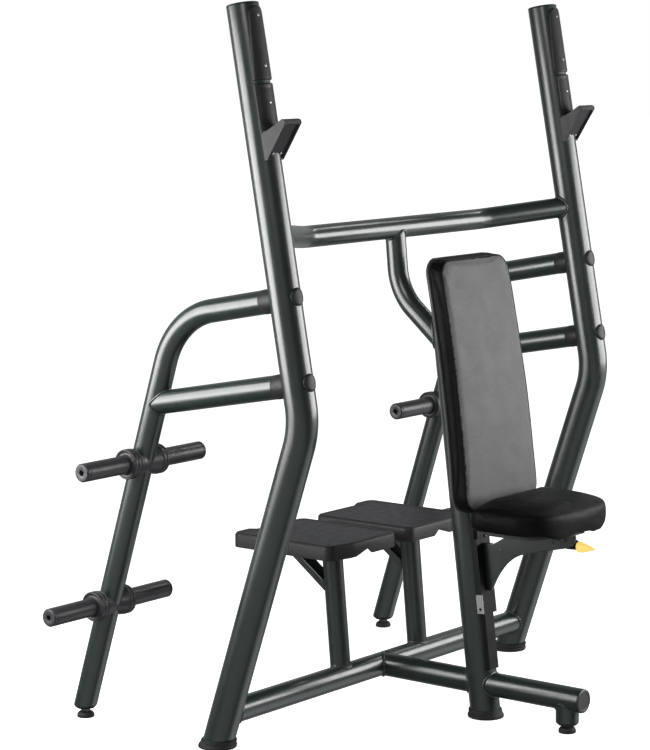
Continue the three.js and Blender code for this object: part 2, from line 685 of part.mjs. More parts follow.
// Side outline of the seat bracket, from the top of its rear edge round to its diagonal upper edge.
function bracketShape() {
  const rear = (z) => columnY(z) - (RAIL_FRONT + CARRIAGE_CLEARANCE + CARRIAGE_WALL + GAP) / Math.cos(COLUMN_LEAN);
  const shape = new THREE.Shape();
  shape.moveTo(rear(442), 442);
  shape.lineTo(rear(323), 323);
  shape.lineTo(-272, 323);
  shape.quadraticCurveTo(-307, 411, -370, 427);
  shape.lineTo(-450, 447);
  shape.lineTo(-500, 459);
  shape.quadraticCurveTo(-517, 465, -518, 482);
  shape.lineTo(-518, BRACKET_TOP);
  shape.lineTo(-357, BRACKET_TOP);
  shape.lineTo(-276, 442);
  return shape;
}

// One upright plate with a top plate under the seat, and a hole across it for the lever's pin.
function seatBracket() {
  const web = slabAcross(bracketShape(), -BRACKET_HALF_THICKNESS, BRACKET_HALF_THICKNESS, 5);
  const topPlate = block(
    at(-BRACKET_TOP_HALF_WIDTH, -518, BRACKET_TOP - PLATE_THICKNESS),
    at(BRACKET_TOP_HALF_WIDTH, -357, BRACKET_TOP),
  );
  const [y, z] = LEVER_PIVOT;
  return web.add(topPlate).subtract(acrossRod(y, z, -60, 60, PIVOT_RADIUS + 0.4, 12));
}

// ---------------------------------------------------------------- rail and carriage, along the column's axis
// In this frame z runs up the column from its foot and -y is ahead of it.
const RAIL_BOTTOM = 122;
const RAIL_TOP = 545;
const CARRIAGE_BOTTOM = 262;
const CARRIAGE_TOP = 452;
const LIP_START = 29.5; // the carriage's sides start this far ahead of the column's axis
const HOLE_PITCH = 25;
const PIN_RADIUS = 5;

// Converts a point (y, z) of the bench to its distance ahead of the column's axis and its height up that axis.
function alongColumn([y, z]) {
  const back = y - COLUMN_FOOT_Y;
  return {
    ahead: z * Math.sin(COLUMN_LEAN) - back * Math.cos(COLUMN_LEAN),
    up: z * Math.cos(COLUMN_LEAN) + back * Math.sin(COLUMN_LEAN),
  };
}

const leverArmEnd = alongColumn([LEVER_PIVOT[0], LEVER_PIVOT[1] - LEVER_ARM]);
const LOCK_HEIGHT = leverArmEnd.up;
const columnFrameCutter = rod(at(0, 0, -60), at(0, 0, COLUMN_TOP + 60), UPRIGHT_RADIUS + GAP);

function seatRail() {
  const chamfer = 7;
  const plan = outline([
    [-RAIL_HALF_WIDTH, 0],
    [-RAIL_HALF_WIDTH, -RAIL_FRONT + chamfer],
    [-RAIL_HALF_WIDTH + chamfer, -RAIL_FRONT],
    [RAIL_HALF_WIDTH - chamfer, -RAIL_FRONT],
    [RAIL_HALF_WIDTH, -RAIL_FRONT + chamfer],
    [RAIL_HALF_WIDTH, 0],
  ]);
  let solid = slabUp(plan, RAIL_BOTTOM, RAIL_TOP).subtract(columnFrameCutter);
  for (let step = -5; step <= 1; step++) {
    const z = LOCK_HEIGHT + step * HOLE_PITCH;
    solid = solid.subtract(rod(at(LOCK_X, -60, z), at(LOCK_X, -30, z), PIN_RADIUS + 1, HOLE_SIDES));
  }
  return solid;
}

// A thin channel that wraps the rail, with a hole for the lock pin.
function seatCarriage() {
  const inner = RAIL_HALF_WIDTH + CARRIAGE_CLEARANCE;
  const outer = inner + CARRIAGE_WALL;
  const grooveFront = RAIL_FRONT + CARRIAGE_CLEARANCE;
  const body = block(at(-outer, -grooveFront - CARRIAGE_WALL, CARRIAGE_BOTTOM), at(outer, -LIP_START, CARRIAGE_TOP));
  const groove = block(at(-inner, -grooveFront, 0), at(inner, 0, COLUMN_TOP));
  const hole = rod(at(LOCK_X, -80, LOCK_HEIGHT), at(LOCK_X, -20, LOCK_HEIGHT), PIN_RADIUS + 1, HOLE_SIDES);
  return body.subtract(groove).subtract(hole);
}

// A thin plate on the side of the carriage's lower end, with a screw hole.
function guidePlate() {
  const inner = RAIL_HALF_WIDTH + CARRIAGE_CLEARANCE + CARRIAGE_WALL + GAP;
  const plate = block(at(-inner - 2, -47, CARRIAGE_BOTTOM + 3), at(-inner, -28, CARRIAGE_BOTTOM + 50));
  return plate.subtract(acrossRod(-38, CARRIAGE_BOTTOM + 14, -60, -20, 4, HOLE_SIDES));
}

const COLLAR_RADIUS = 7.5;
const ROD_END_GAP = 8; // from the end of the pull rod to the middle of the lever's arm

// The lock pin, its collar and the pull rod that runs forward to the lever.
function lockPin() {
  const reach = (ahead, radius, sides) => rod(
    at(LOCK_X, -ahead[0], LOCK_HEIGHT),
    at(LOCK_X, -ahead[1], LOCK_HEIGHT),
    radius,
    sides,
  );
  const pin = reach([38.9, 60], PIN_RADIUS, HOLE_SIDES);
  const collar = reach([53, 66], COLLAR_RADIUS, 12);
  const pull = reach([65, leverArmEnd.ahead - ROD_END_GAP], 3, HOLE_SIDES);
  return pin.add(collar).add(pull);
}

const railFrame = new THREE.Group();
railFrame.position.set(0, COLUMN_FOOT_Y, 0);
railFrame.rotation.x = -COLUMN_LEAN;
railFrame.add(
  piece('seat_rail', seatRail(), 'rail'),
  piece('seat_carriage', seatCarriage(), 'rail'),
  piece('carriage_guide_plate', guidePlate(), 'zinc'),
  piece('lock_pin', lockPin(), 'zinc'),
);

// A cranked lever beside the seat bracket, on a pin through it, with a teardrop handle in front of it.
function releaseLever() {
  const [y, z] = LEVER_PIVOT;
  const near = BRACKET_HALF_THICKNESS + 0.6;
  const far = near + 11;
  const pin = acrossRod(y, z, -near - 4, far, PIVOT_RADIUS, 12);
  const head = acrossRod(y, z, -near - 4, -near, PIVOT_RADIUS + 3, 12);
  const web = outline([
    [y + 8, z + 4],
    [y + 6, z - LEVER_ARM - 5],
    [y - 6, z - LEVER_ARM - 7],
    [y - 42, z - 27],
    [y - 44, z - 7],
    [y - 14, z + 4],
  ]);
  const handle = new THREE.Shape();
  handle.moveTo(y - 39, z - 5);
  handle.quadraticCurveTo(y - 62, z - 4, y - 87.5, z - 12);
  handle.quadraticCurveTo(y - 58, z - 28, y - 41, z - 29);
  return pin.add(head).add(slabAcross(web, near, far)).add(slabAcross(handle, -7, far - 4, 4));
}

// ---------------------------------------------------------------- assembly
const assembly = new THREE.Group();
assembly.add(rackSide('left', -HALF_SPACING), rackSide('right', HALF_SPACING), railFrame);
assembly.add(
  piece('base_crossbar', baseCrossbar(), 'paint'),
  piece('base_beam_rear', rearBeam(), 'paint'),
  piece('base_beam_front', frontBeam(), 'paint'),
  piece('beam_end_cap', beamEndCap(), 'plastic'),
  piece('front_levelling_foot', levellingFoot(STUB_Y, STUB_BOTTOM), 'rubber'),
  piece('column', column(), 'paint'),
  piece('column_foot', footCup(columnPoint(0), columnPoint(COLUMN_TOP)), 'rubber'),
  piece('upper_crossbar', upperCrossbar(), 'paint'),
  piece('hanger_tube', hangerTube(), 'paint'),
  piece('backrest_pad', backrestPad(), 'cushion'),
  piece('backrest_shell', backrestShell(), 'board'),
  piece('backrest_mount', backrestMount(), 'paint'),
  piece('seat_pad', seatPad(), 'seatCushion'),
  piece('seat_board', seatBoard(), 'board'),
  piece('seat_bracket', seatBracket(), 'paint'),
  piece('release_lever', releaseLever(), 'yellow'),
);
for (const [label, side] of [['left', -1], ['right', 1]]) {
  const post = piece(`step_post_${label}`, stepPost(), 'paint');
  post.position.x = side * POST_X;
  assembly.add(post, piece(`foot_step_${label}`, stepTray(side), 'plastic'));
}

export default assembly;
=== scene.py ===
"""Seated olympic press bench: the looks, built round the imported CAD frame.

Metres. X is across the bench, -Y is the way the user faces, +Z is up, and the floor is z = 0.
"""
from math import asin, atan, copysign, cos, pi, radians, sin, sqrt, tan

import bmesh
import bpy
from mathutils import Matrix, Vector, noise
from mathutils.bvhtree import BVHTree
from mathutils.kdtree import KDTree


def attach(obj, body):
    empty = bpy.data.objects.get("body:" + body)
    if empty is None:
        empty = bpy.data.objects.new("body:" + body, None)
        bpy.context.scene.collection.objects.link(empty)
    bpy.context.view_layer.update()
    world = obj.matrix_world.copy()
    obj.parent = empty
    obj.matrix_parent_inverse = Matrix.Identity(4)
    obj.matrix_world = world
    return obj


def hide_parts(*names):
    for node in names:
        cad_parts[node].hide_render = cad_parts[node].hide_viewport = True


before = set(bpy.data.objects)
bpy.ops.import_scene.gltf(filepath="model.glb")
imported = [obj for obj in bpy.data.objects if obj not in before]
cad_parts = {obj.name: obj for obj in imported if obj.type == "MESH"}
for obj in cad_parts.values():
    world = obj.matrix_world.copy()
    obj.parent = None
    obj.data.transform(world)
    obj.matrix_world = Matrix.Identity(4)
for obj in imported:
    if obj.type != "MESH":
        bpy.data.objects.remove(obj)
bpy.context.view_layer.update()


def vec(x, y, z):
    return Vector((x, y, z))


# ---- driving dimensions
UPRIGHT_X = 0.614
TUBE_RADIUS = 0.038  # uprights and column
UPRIGHT_FOOT = vec(0, 0.104, 0)
UPRIGHT_ELBOW = vec(0, -0.1745, 0.801)
UPRIGHT_TOP = vec(0, -0.001, 1.766)
UPRIGHT_BEND = 0.2

BRACE_RADIUS = 0.0285
REAR_FOOT = vec(0, 0.554, 0)
REAR_CORNER = vec(0, 0.218, 1.033)
REAR_BEND = 0.195
REAR_LEG_BOTTOM = 0.032
TOP_BRACE_Z = 1.096
LOWER_BRACE_Z = (0.9, 0.818)  # at the upright, at the rear leg
COLLAR_LENGTH = 0.023

BASE_RADIUS = 0.03
BASE_Z = 0.085
CROSSBAR_Y = 0.075
BEAM_FRONT = -0.54
STUB_Y = -0.496
STUB_RADIUS = 0.0285
STUB_BOTTOM = 0.028

COLUMN_FOOT = vec(0, -0.253, 0)
COLUMN_SLOPE = 0.1206
COLUMN_TOP_Z = 0.955

UPPER_BAR_RADIUS = 0.027
UPPER_BAR_Z = 1.215
UPPER_BAR_Y = 0.0284
UPPER_BAR_KNEE = 0.366
UPPER_BAR_END_Z = 1.24
HANGER_RADIUS = 0.026
HANGER_KNEE = vec(0, 0.015, 1.053)
HANGER_SLOPE = 0.85  # drop per length forward

PEG_Z = {"upper": 0.671, "lower": 0.304}
POST_X = 0.162
POST_RADIUS = 0.026
STEP_TOP = 0.445
LEVER_PIVOT = vec(0, -0.4845, 0.4805)

UPRIGHT_AXIS = (UPRIGHT_TOP - UPRIGHT_ELBOW).normalized()
UPRIGHT_AHEAD = vec(0, -UPRIGHT_AXIS.z, UPRIGHT_AXIS.y)  # square to it, towards the user
RIGHT, REARWARD, UP = vec(1, 0, 0), vec(0, 1, 0), vec(0, 0, 1)

FACETS = 64  # round a tube
SCREW_RADIUS = 0.0036
WELD_RADIUS, THIN_WELD_RADIUS = 0.0035, 0.003
SKIN = 0.0003  # how far a piece stands off the one it is fitted to
SIDES = {"left": -1, "right": 1}


# ---- lines of the frame
def between(low, high, z):
    """The point at height z on the line through two points."""
    return low.lerp(high, (z - low.z) / (high.z - low.z))


def upright_at(z):
    if z > UPRIGHT_ELBOW.z:
        return between(UPRIGHT_ELBOW, UPRIGHT_TOP, z)
    return between(UPRIGHT_FOOT, UPRIGHT_ELBOW, z)


def rear_leg_at(z):
    return between(REAR_FOOT, REAR_CORNER, z)


def column_at(z):
    return COLUMN_FOOT + vec(0, COLUMN_SLOPE, 1) * z


def across(x, point):
    return vec(x, point.y, point.z)


def run_of_pipe(corners, bend=0.0, steps=16):
    """Stations (point, direction) along a pipe with a bend at each inner corner."""
    stations = [(corners[0], (corners[1] - corners[0]).normalized())]
    for before, corner, after in zip(corners, corners[1:], corners[2:]):
        ahead, turned = (corner - before).normalized(), (after - corner).normalized()
        turn = ahead.angle(turned)
        inward = (turned - ahead * turned.dot(ahead)).normalized()
        start = corner - ahead * bend * tan(turn / 2)
        for i in range(steps + 1):
            angle = turn * i / steps
            point = start + ahead * bend * sin(angle) + inward * bend * (1 - cos(angle))
            stations.append((point, ahead * cos(angle) + inward * sin(angle)))
    stations.append((corners[-1], (corners[-1] - corners[-2]).normalized()))
    return stations


# ---- where a pipe's end stops
def on_level(z):
    """Cuts the end of a pipe level."""
    return lambda point, out: point + out * ((z - point.z) / out.z)


def on_tube(origin, direction, radius):
    """Fits the end of a pipe to the round side of another one."""
    axis = direction.normalized()

    def fit(point, out):
        flat = (point - origin) - axis * (point - origin).dot(axis)
        step = out - axis * out.dot(axis)
        a, b, c = step.dot(step), flat.dot(step), flat.dot(flat) - radius * radius
        inside = b * b - a * c
        return point + out * ((-b + sqrt(inside)) / a) if inside > 0 else point

    return fit


def on_upright(x, z, stand=SKIN):
    lean = UPRIGHT_AXIS if z > UPRIGHT_ELBOW.z else UPRIGHT_ELBOW - UPRIGHT_FOOT
    return on_tube(across(x, upright_at(z)), lean, TUBE_RADIUS + stand)


on_column = on_tube(COLUMN_FOOT, column_at(1) - COLUMN_FOOT, TUBE_RADIUS + SKIN)


# ---- meshes
def linked(name, data):
    """A new object in the scene."""
    obj = bpy.data.objects.new(name, data)
    bpy.context.scene.collection.objects.link(obj)
    return obj


def finished(name, verts, faces, material, body="frame", replaces=(), slot=None, sharp=35):
    """Makes a smooth shaded piece and puts it on its body."""
    mesh = bpy.data.meshes.new(name)
    mesh.from_pydata([tuple(v) for v in verts], [], faces)
    shape = bmesh.new()
    shape.from_mesh(mesh)
    bmesh.ops.remove_doubles(shape, verts=shape.verts, dist=1e-6)
    bmesh.ops.recalc_face_normals(shape, faces=shape.faces)
    shape.to_mesh(mesh)
    shape.free()
    for one in material if isinstance(material, list) else [material]:
        mesh.materials.append(one)
    mesh.polygons.foreach_set("use_smooth", [True] * len(mesh.polygons))
    mesh.set_sharp_from_angle(angle=radians(sharp))
    obj = linked(name, mesh)
    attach(obj, body)
    if replaces:
        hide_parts(replaces)
    slot or mesh.materials[0].name.removesuffix("_finish")
    return obj


def softened(obj, width, segments=3, angle=40):
    """Rounds the edges of a piece."""
    bevel = obj.modifiers.new("edges", "BEVEL")
    bevel.width = width
    bevel.segments = segments
    bevel.limit_method = "ANGLE"
    bevel.angle_limit = radians(angle)
    return obj


def skin(rings, capped=True):
    """Vertices and faces of a surface through closed rings of equal length."""
    count = len(rings[0])
    verts = [p for ring in rings for p in ring]
    faces = []
    for i in range(len(rings) - 1):
        for j in range(count):
            k = (j + 1) % count
            faces.append((i * count + j, i * count + k, (i + 1) * count + k, (i + 1) * count + j))
    if capped:
        faces.append(tuple(range(count))[::-1])
        faces.append(tuple(range(len(verts) - count, len(verts))))
    return verts, faces


def closing(outline, place, steps=9, last=0.03):
    """Rings that shrink towards the middle of an outline of (u, v) points, to close a curved face."""
    u0, v0 = [(min(p[k] for p in outline) + max(p[k] for p in outline)) / 2 for k in (0, 1)]
    sizes = [1 - (1 - last) * i / steps for i in range(1, steps + 1)]
    return [[place(u0 + (u - u0) * size, v0 + (v - v0) * size, size) for u, v in outline] for size in sizes]


def looped(rings):
    """Like skin, but the last ring joins the first."""
    return skin(rings + rings[:1], capped=False)


def frame_about(direction):
    """Two unit vectors square to a direction."""
    axis = direction.normalized()
    side = RIGHT if abs(axis.x) < 0.9 else UP
    side = (side - axis * side.dot(axis)).normalized()
    return side, axis.cross(side)


def hexagonal(angle):
    """How far a hexagon reaches at an angle, as a share of the circle round it."""
    return cos(pi / 6) / cos(angle % (pi / 3) - pi / 6)


def circle(centre, first, second, radius, count, hexagon=False):
    """Points of a circle, or of the hexagon in it, in the plane of two vectors."""
    angles = [2 * pi * j / count for j in range(count)]
    return [centre + (first * cos(a) + second * sin(a)) * (radius * (hexagonal(a) if hexagon else 1))
            for a in angles]


def rings_along(stations, radius):
    side, _ = frame_about(stations[0][1])
    rings = []
    for point, tangent in stations:
        side = (side - tangent * side.dot(tangent)).normalized()
        rings.append(circle(point, side, tangent.cross(side), radius, FACETS))
    return rings


def pipe(name, stations, radius, start=None, end=None, replaces=(), welds=(), weld_radius=WELD_RADIUS):
    """A painted pipe along stations. start and end fit its ends to what it meets.
    welds names the bead round each end, or None for an end without one."""
    rings = rings_along(stations, radius)
    if start:
        rings[0] = [start(p, stations[0][1]) for p in rings[0]]
    if end:
        rings[-1] = [end(p, -stations[-1][1]) for p in rings[-1]]
    finished(name, *skin(rings), PAINT, replaces=replaces)
    for place, ring in zip(welds, (rings[0], rings[-1])):
        if place:
            weld(f"weld_{place}", ring, weld_radius)


def curve(start, control, end, steps):
    """Points of a quadratic curve."""
    a, b, c = Vector(start), Vector(control), Vector(end)
    share = [i / steps for i in range(steps + 1)]
    return [a * (1 - t) ** 2 + b * 2 * t * (1 - t) + c * t * t for t in share]


def rounded(points, radius, steps=4):
    """An open line of (r, h) points with its inner corners rounded."""
    line = [Vector(p) for p in points]
    out = [line[0]]
    for before, corner, after in zip(line, line[1:], line[2:]):
        back, ahead = before - corner, after - corner
        reach = min(radius, 0.45 * back.length, 0.45 * ahead.length)
        out += curve(corner + back.normalized() * reach, corner, corner + ahead.normalized() * reach, steps)
    return out + [line[-1]]


def turned(name, profile, origin, direction, material, facets=48, hexagon=(), **options):
    """A turned piece: profile holds (r, h) points from one end of the axis to the other.
    The rings whose index is in hexagon are six-sided."""
    axis = direction.normalized()
    rings = [circle(origin + axis * h, *frame_about(axis), max(r, 1e-5), facets, i in hexagon)
             for i, (r, h) in enumerate(profile)]
    finished(name, *skin(rings), material, **options)


def slab(name, outline, low, high, place, material, **options):
    """A plate with an outline of (u, v) points, from w = low to w = high.
    place turns (u, v, w) into a point."""
    count = len(outline)
    verts = [place(u, v, low) for u, v in outline] + [place(u, v, high) for u, v in outline]
    faces = [tuple(range(count))[::-1], tuple(range(count, 2 * count))]
    for j in range(count):
        k = (j + 1) % count
        faces.append((j, k, count + k, count + j))
    return finished(name, verts, faces, material, **options)


def side_view(u, v, w):
    return vec(w, u, v)


def arc(centre, radius, start, end, steps=8):
    """Points of an arc, with its angles in degrees."""
    angles = [radians(start + (end - start) * i / steps) for i in range(steps + 1)]
    return [(centre[0] + radius * cos(a), centre[1] + radius * sin(a)) for a in angles]


# ---- materials
class Nodes:
    """Adds shader nodes to a node tree."""

    def __init__(self, tree):
        self.tree = tree

    def plug(self, node, inputs):
        """Sets or links the inputs of a node."""
        for key, value in inputs.items():
            if isinstance(value, bpy.types.NodeSocket):
                self.tree.links.new(value, node.inputs[key])
            elif value is not None:
                node.inputs[key].default_value = value

    def add(self, kind, inputs, **settings):
        node = self.tree.nodes.new("ShaderNode" + kind)
        for key, value in settings.items():
            setattr(node, key, value)
        self.plug(node, inputs)
        return node


class Finish(Nodes):
    """A new material and the patterns it is made of."""

    def __init__(self, name):
        self.material = bpy.data.materials.new(name + "_finish")
        self.material.use_nodes = True
        super().__init__(self.material.node_tree)
        self.shader = self.tree.nodes["Principled BSDF"]
        self.coordinates = self.add("TexCoord", {}).outputs["Object"]

    def noise(self, scale, detail=3.0, roughness=0.55, stretch=(1, 1, 1)):
        vector = self.add("Mapping", {"Vector": self.coordinates, "Scale": stretch}).outputs["Vector"]
        inputs = {"Vector": vector, "Scale": scale, "Detail": detail, "Roughness": roughness}
        return self.add("TexNoise", inputs).outputs["Fac"]

    def cells(self, scale):
        inputs = {"Vector": self.coordinates, "Scale": scale}
        return self.add("TexVoronoi", inputs, feature="DISTANCE_TO_EDGE").outputs["Distance"]

    def spread(self, value, low, high, from_low=0.3, from_high=0.7):
        inputs = {"Value": value, "From Min": from_low, "From Max": from_high, "To Min": low, "To Max": high}
        return self.add("MapRange", inputs).outputs["Result"]

    def blend(self, share, first, second):
        inputs = {"Fac": share, "Color1": (*first, 1), "Color2": (*second, 1)}
        return self.add("MixRGB", inputs).outputs["Color"]

    def bump(self, height, strength, distance, under=None):
        inputs = {"Height": height, "Strength": strength, "Distance": distance, "Normal": under}
        return self.add("Bump", inputs).outputs["Normal"]

    def finish(self, color, roughness, normal=None, **sockets):
        self.plug(self.shader, {"Base Color": color, "Roughness": roughness, "Normal": normal})
        self.plug(self.shader, {key.replace("_", " "): value for key, value in sockets.items()})
        return self.material


def paint():
    """Dark green-grey powder coat with a gloss coat and a faint orange peel."""
    n = Finish("frame_paint")
    tone = n.blend(n.spread(n.noise(5), 0, 1), (0.01, 0.019, 0.0155), (0.015, 0.026, 0.022))
    rough = n.spread(n.noise(30, 4), 0.3, 0.38)
    peel = n.bump(n.noise(160, 2), 0.05, 0.0006)
    normal = n.bump(n.noise(900, 2), 0.04, 0.0002, peel)
    return n.finish(tone, rough, normal, Specular_IOR_Level=0.7, Coat_Weight=0.5, Coat_Roughness=0.16)


def plastic(name, dark, light, rough, grain=1100, depth=0.25, gloss=0.25, **sockets):
    """Moulded plastic with a fine spark-eroded grain."""
    n = Finish(name)
    tone = n.blend(n.spread(n.noise(14, 4), 0, 1), dark, light)
    pits = n.bump(n.noise(grain, 2, 0.6), depth, 0.0004)
    roughness = n.spread(n.noise(45, 4), rough - 0.05, rough + 0.05)
    return n.finish(tone, roughness, pits, Specular_IOR_Level=gloss, **sockets)


def vinyl(name, dark, light, rough, cell=620, depth=0.35, sheen=0.0, gloss=0.5):
    """Upholstery vinyl: a pebbled grain, soft creases and a fleck of tone drawn out across it."""
    n = Finish(name)
    tone = n.blend(n.spread(n.noise(340, 3, 0.6, (0.16, 0.5, 1)), 0, 1), dark, light)
    pebbles = n.spread(n.cells(cell), 0, 1, 0.0, 0.25)
    creases = n.bump(n.noise(38, 6, 0.6), 0.12, 0.0012)
    normal = n.bump(pebbles, depth, 0.0004, creases)
    roughness = n.spread(n.noise(24, 4), rough - 0.04, rough + 0.05)
    return n.finish(tone, roughness, normal, Sheen_Weight=sheen, Sheen_Roughness=0.5,
                    Specular_IOR_Level=gloss)


def metal(name, color, rough):
    """Plated steel with fine drawing marks."""
    n = Finish(name)
    marks = n.noise(420, 3, 0.6, (1, 1, 12))
    tone = n.blend(marks, [c * 0.86 for c in color], color)
    roughness = n.spread(marks, rough - 0.06, rough + 0.1)
    return n.finish(tone, roughness, n.bump(marks, 0.08, 0.0002), Metallic=1.0)


PAINT = paint()
PLASTIC = plastic("charcoal_plastic", (0.02, 0.0193, 0.0215), (0.028, 0.027, 0.03), 0.44)
# The charcoal plastic again, painted lighter and made glossier: a lit copy that gives the pegs and the beam
# cap painted light.
PAINTED_LIGHT_PLASTIC = plastic("peg_plastic", (0.034, 0.0325, 0.0365), (0.044, 0.042, 0.047), 0.36,
                      gloss=0.5)
RUBBER = plastic("rubber_black", (0.02, 0.019, 0.021), (0.03, 0.028, 0.031), 0.62, 700, 0.35)
GREY_VINYL = vinyl("backrest_cover", (0.068, 0.068, 0.068), (0.088, 0.088, 0.0875), 0.58, sheen=0.1)
BLACK_VINYL = vinyl("seat_cover", (0.003, 0.003, 0.0033), (0.005, 0.005, 0.0055), 0.42, 540, 0.3,
                    gloss=0.09)
BOARD = plastic("board", (0.06, 0.06, 0.062), (0.08, 0.08, 0.082), 0.42, 900, 0.2)
RAIL = plastic("rail_black", (0.006, 0.006, 0.006), (0.01, 0.01, 0.01), 0.38, 800, 0.1)
ZINC = metal("zinc", (0.6, 0.61, 0.61), 0.3)
NUT = metal("nut", (0.12, 0.12, 0.125), 0.35)
YELLOW_PAINTED_GLOW = 0.6  # painted glow: the handle gives off light of its own, standing in for the light the seat shades from it
# The yellow plastic of the handle; its emission is a painted glow that lightens it where the seat shades it.
YELLOW = plastic("lever_yellow", (0.95, 0.72, 0.2), (0.98, 0.8, 0.3), 0.3, 260, 0.08,
                 Emission_Color=(0.95, 0.7, 0.16, 1), Emission_Strength=YELLOW_PAINTED_GLOW)


# ---- welds
def weld(name, ring, radius):
    """A rippled bead along a closed ring of points."""
    count = len(ring)
    centre = sum(ring, Vector()) / count
    length = sum((ring[i] - ring[i - 1]).length for i in range(count))
    ripples = max(8, round(length / 0.006))
    fine = 3 * count
    rings = []
    for i in range(fine):
        base, share = divmod(i, 3)
        point = ring[base].lerp(ring[(base + 1) % count], share / 3)
        tangent = (ring[(base + 1) % count] - ring[base]).normalized()
        outward = (point - centre).normalized()
        outward = (outward - tangent * outward.dot(tangent)).normalized()
        other = tangent.cross(outward)
        swell = 1 + 0.16 * abs(sin(pi * ripples * i / fine)) + 0.1 * noise.noise(point * 90)
        rings.append(circle(point, outward, other, radius * swell, 10))
    finished(name, *looped(rings), PAINT, sharp=180)


# ---- the two sides of the rack
def wrapped(name, z_low, z_high, half_width, height, x, rows, columns, **options):
    """A shell wrapped on the front of an upright. half_width(z) and height(across, z) give its shape."""
    outer, inner = [], []
    for j in range(rows + 1):
        z = z_low + (z_high - z_low) * j / rows
        centre = across(x, upright_at(z))
        reach = half_width(z)
        for i in range(columns + 1):
            u = sin(pi / 2 * (2 * i / columns - 1))
            turn = asin(min(1, u * reach / TUBE_RADIUS))
            way = UPRIGHT_AHEAD * cos(turn) + RIGHT * sin(turn)
            outer.append(centre + way * (TUBE_RADIUS + SKIN + height(u * reach, z)))
            inner.append(centre + way * (TUBE_RADIUS + SKIN))
    verts, faces = outer + inner, []
    wide = columns + 1
    for j in range(rows):
        for i in range(columns):
            a = j * wide + i
            faces.append((a, a + 1, a + wide + 1, a + wide))
            b = a + len(outer)
            faces.append((b + wide, b + wide + 1, b + 1, b))
    rim = [*range(wide)] + [j * wide + columns for j in range(1, rows + 1)]
    rim += [rows * wide + i for i in range(columns - 1, -1, -1)]
    rim += [j * wide for j in range(rows - 1, 0, -1)]
    for a, b in zip(rim, rim[1:] + rim[:1]):
        faces.append((b, a, a + len(outer), b + len(outer)))
    finished(name, verts, faces, PLASTIC, sharp=50, **options)


def rolled_edge(distance, width, height):
    """Height near a rounded edge: zero on it, full at width or more from it."""
    t = min(1.0, max(0.0, distance / width))
    return height * sqrt(1 - (1 - t) ** 2)


STRIP_Z = (1.59, 1.76)
STRIP_THICKNESS = 0.0042
STRIP_HALF_WIDTH, STRIP_CROWN = 0.029, 0.022  # at the bottom, and the radius of the round top
STRIP_SCREW_Z = (1.622, 1.737)
FILM = 1e-4  # the least thickness of a wrapped piece


def guard_strip(label, x):
    (low, high), crown = STRIP_Z, STRIP_CROWN

    def half_width(z):
        shoulder = high - crown
        if z > shoulder:
            return sqrt(max(0.0, crown ** 2 - (z - shoulder) ** 2)) + FILM
        return STRIP_HALF_WIDTH + (crown - STRIP_HALF_WIDTH) * (z - low) / (shoulder - low)

    def height(a, z):
        edge = min(half_width(z) - abs(a), z - low, high - z)
        return rolled_edge(edge, 0.0035, STRIP_THICKNESS) + FILM

    wrapped(f"guard_strip_shell_{label}", low, high, half_width, height, x, 90, 40,
            replaces=f"guard_strip_{label}")
    for i, z in enumerate(STRIP_SCREW_Z):
        front_screw(f"strip_screw_{label}_{i + 1}", x, z, STRIP_THICKNESS)


def front_screw(name, x, z, stand):
    """A small countersunk screw in a piece on the front of an upright."""
    screw(name, across(x, upright_at(z)) + UPRIGHT_AHEAD * (TUBE_RADIUS + stand - 0.0006), UPRIGHT_AHEAD)


def screw(name, origin, direction, radius=SCREW_RADIUS, body="frame", material=None):
    """A pan-head screw with a hexagonal socket."""
    socket = radius * 0.46
    profile = rounded([(0, -0.002), (radius, -0.002), (radius, 0.0008), (radius * 0.78, 0.0018),
                       (socket, 0.0019)], 0.0005, 3)
    hexagon = (len(profile) - 1, len(profile))
    profile += [Vector((socket, 0.0002)), Vector((0, 0.0002))]
    turned(name, profile, origin, direction, material or ZINC, 24, hexagon, body=body, slot="zinc")


HOOK_HALF_WIDTH = 0.03
HOOK_TOE, HOOK_TIP = Vector((0.031, 1.4135)), Vector((0.101, 1.499))  # ahead of the upright, height
HOOK_RIM, HOOK_RECESS = 0.005, 0.0045  # width of the rim of the sloping front, depth inside it
HOOK_SLICES = (-1, -0.85, -0.8, -0.55, -0.28, 0, 0.28, 0.55, 0.8, 0.85, 1)
HOOK_PLATE_Z = (1.47, 1.584)
PLATE_DISH, PLATE_SCREW_Z = 0.0016, 1.539


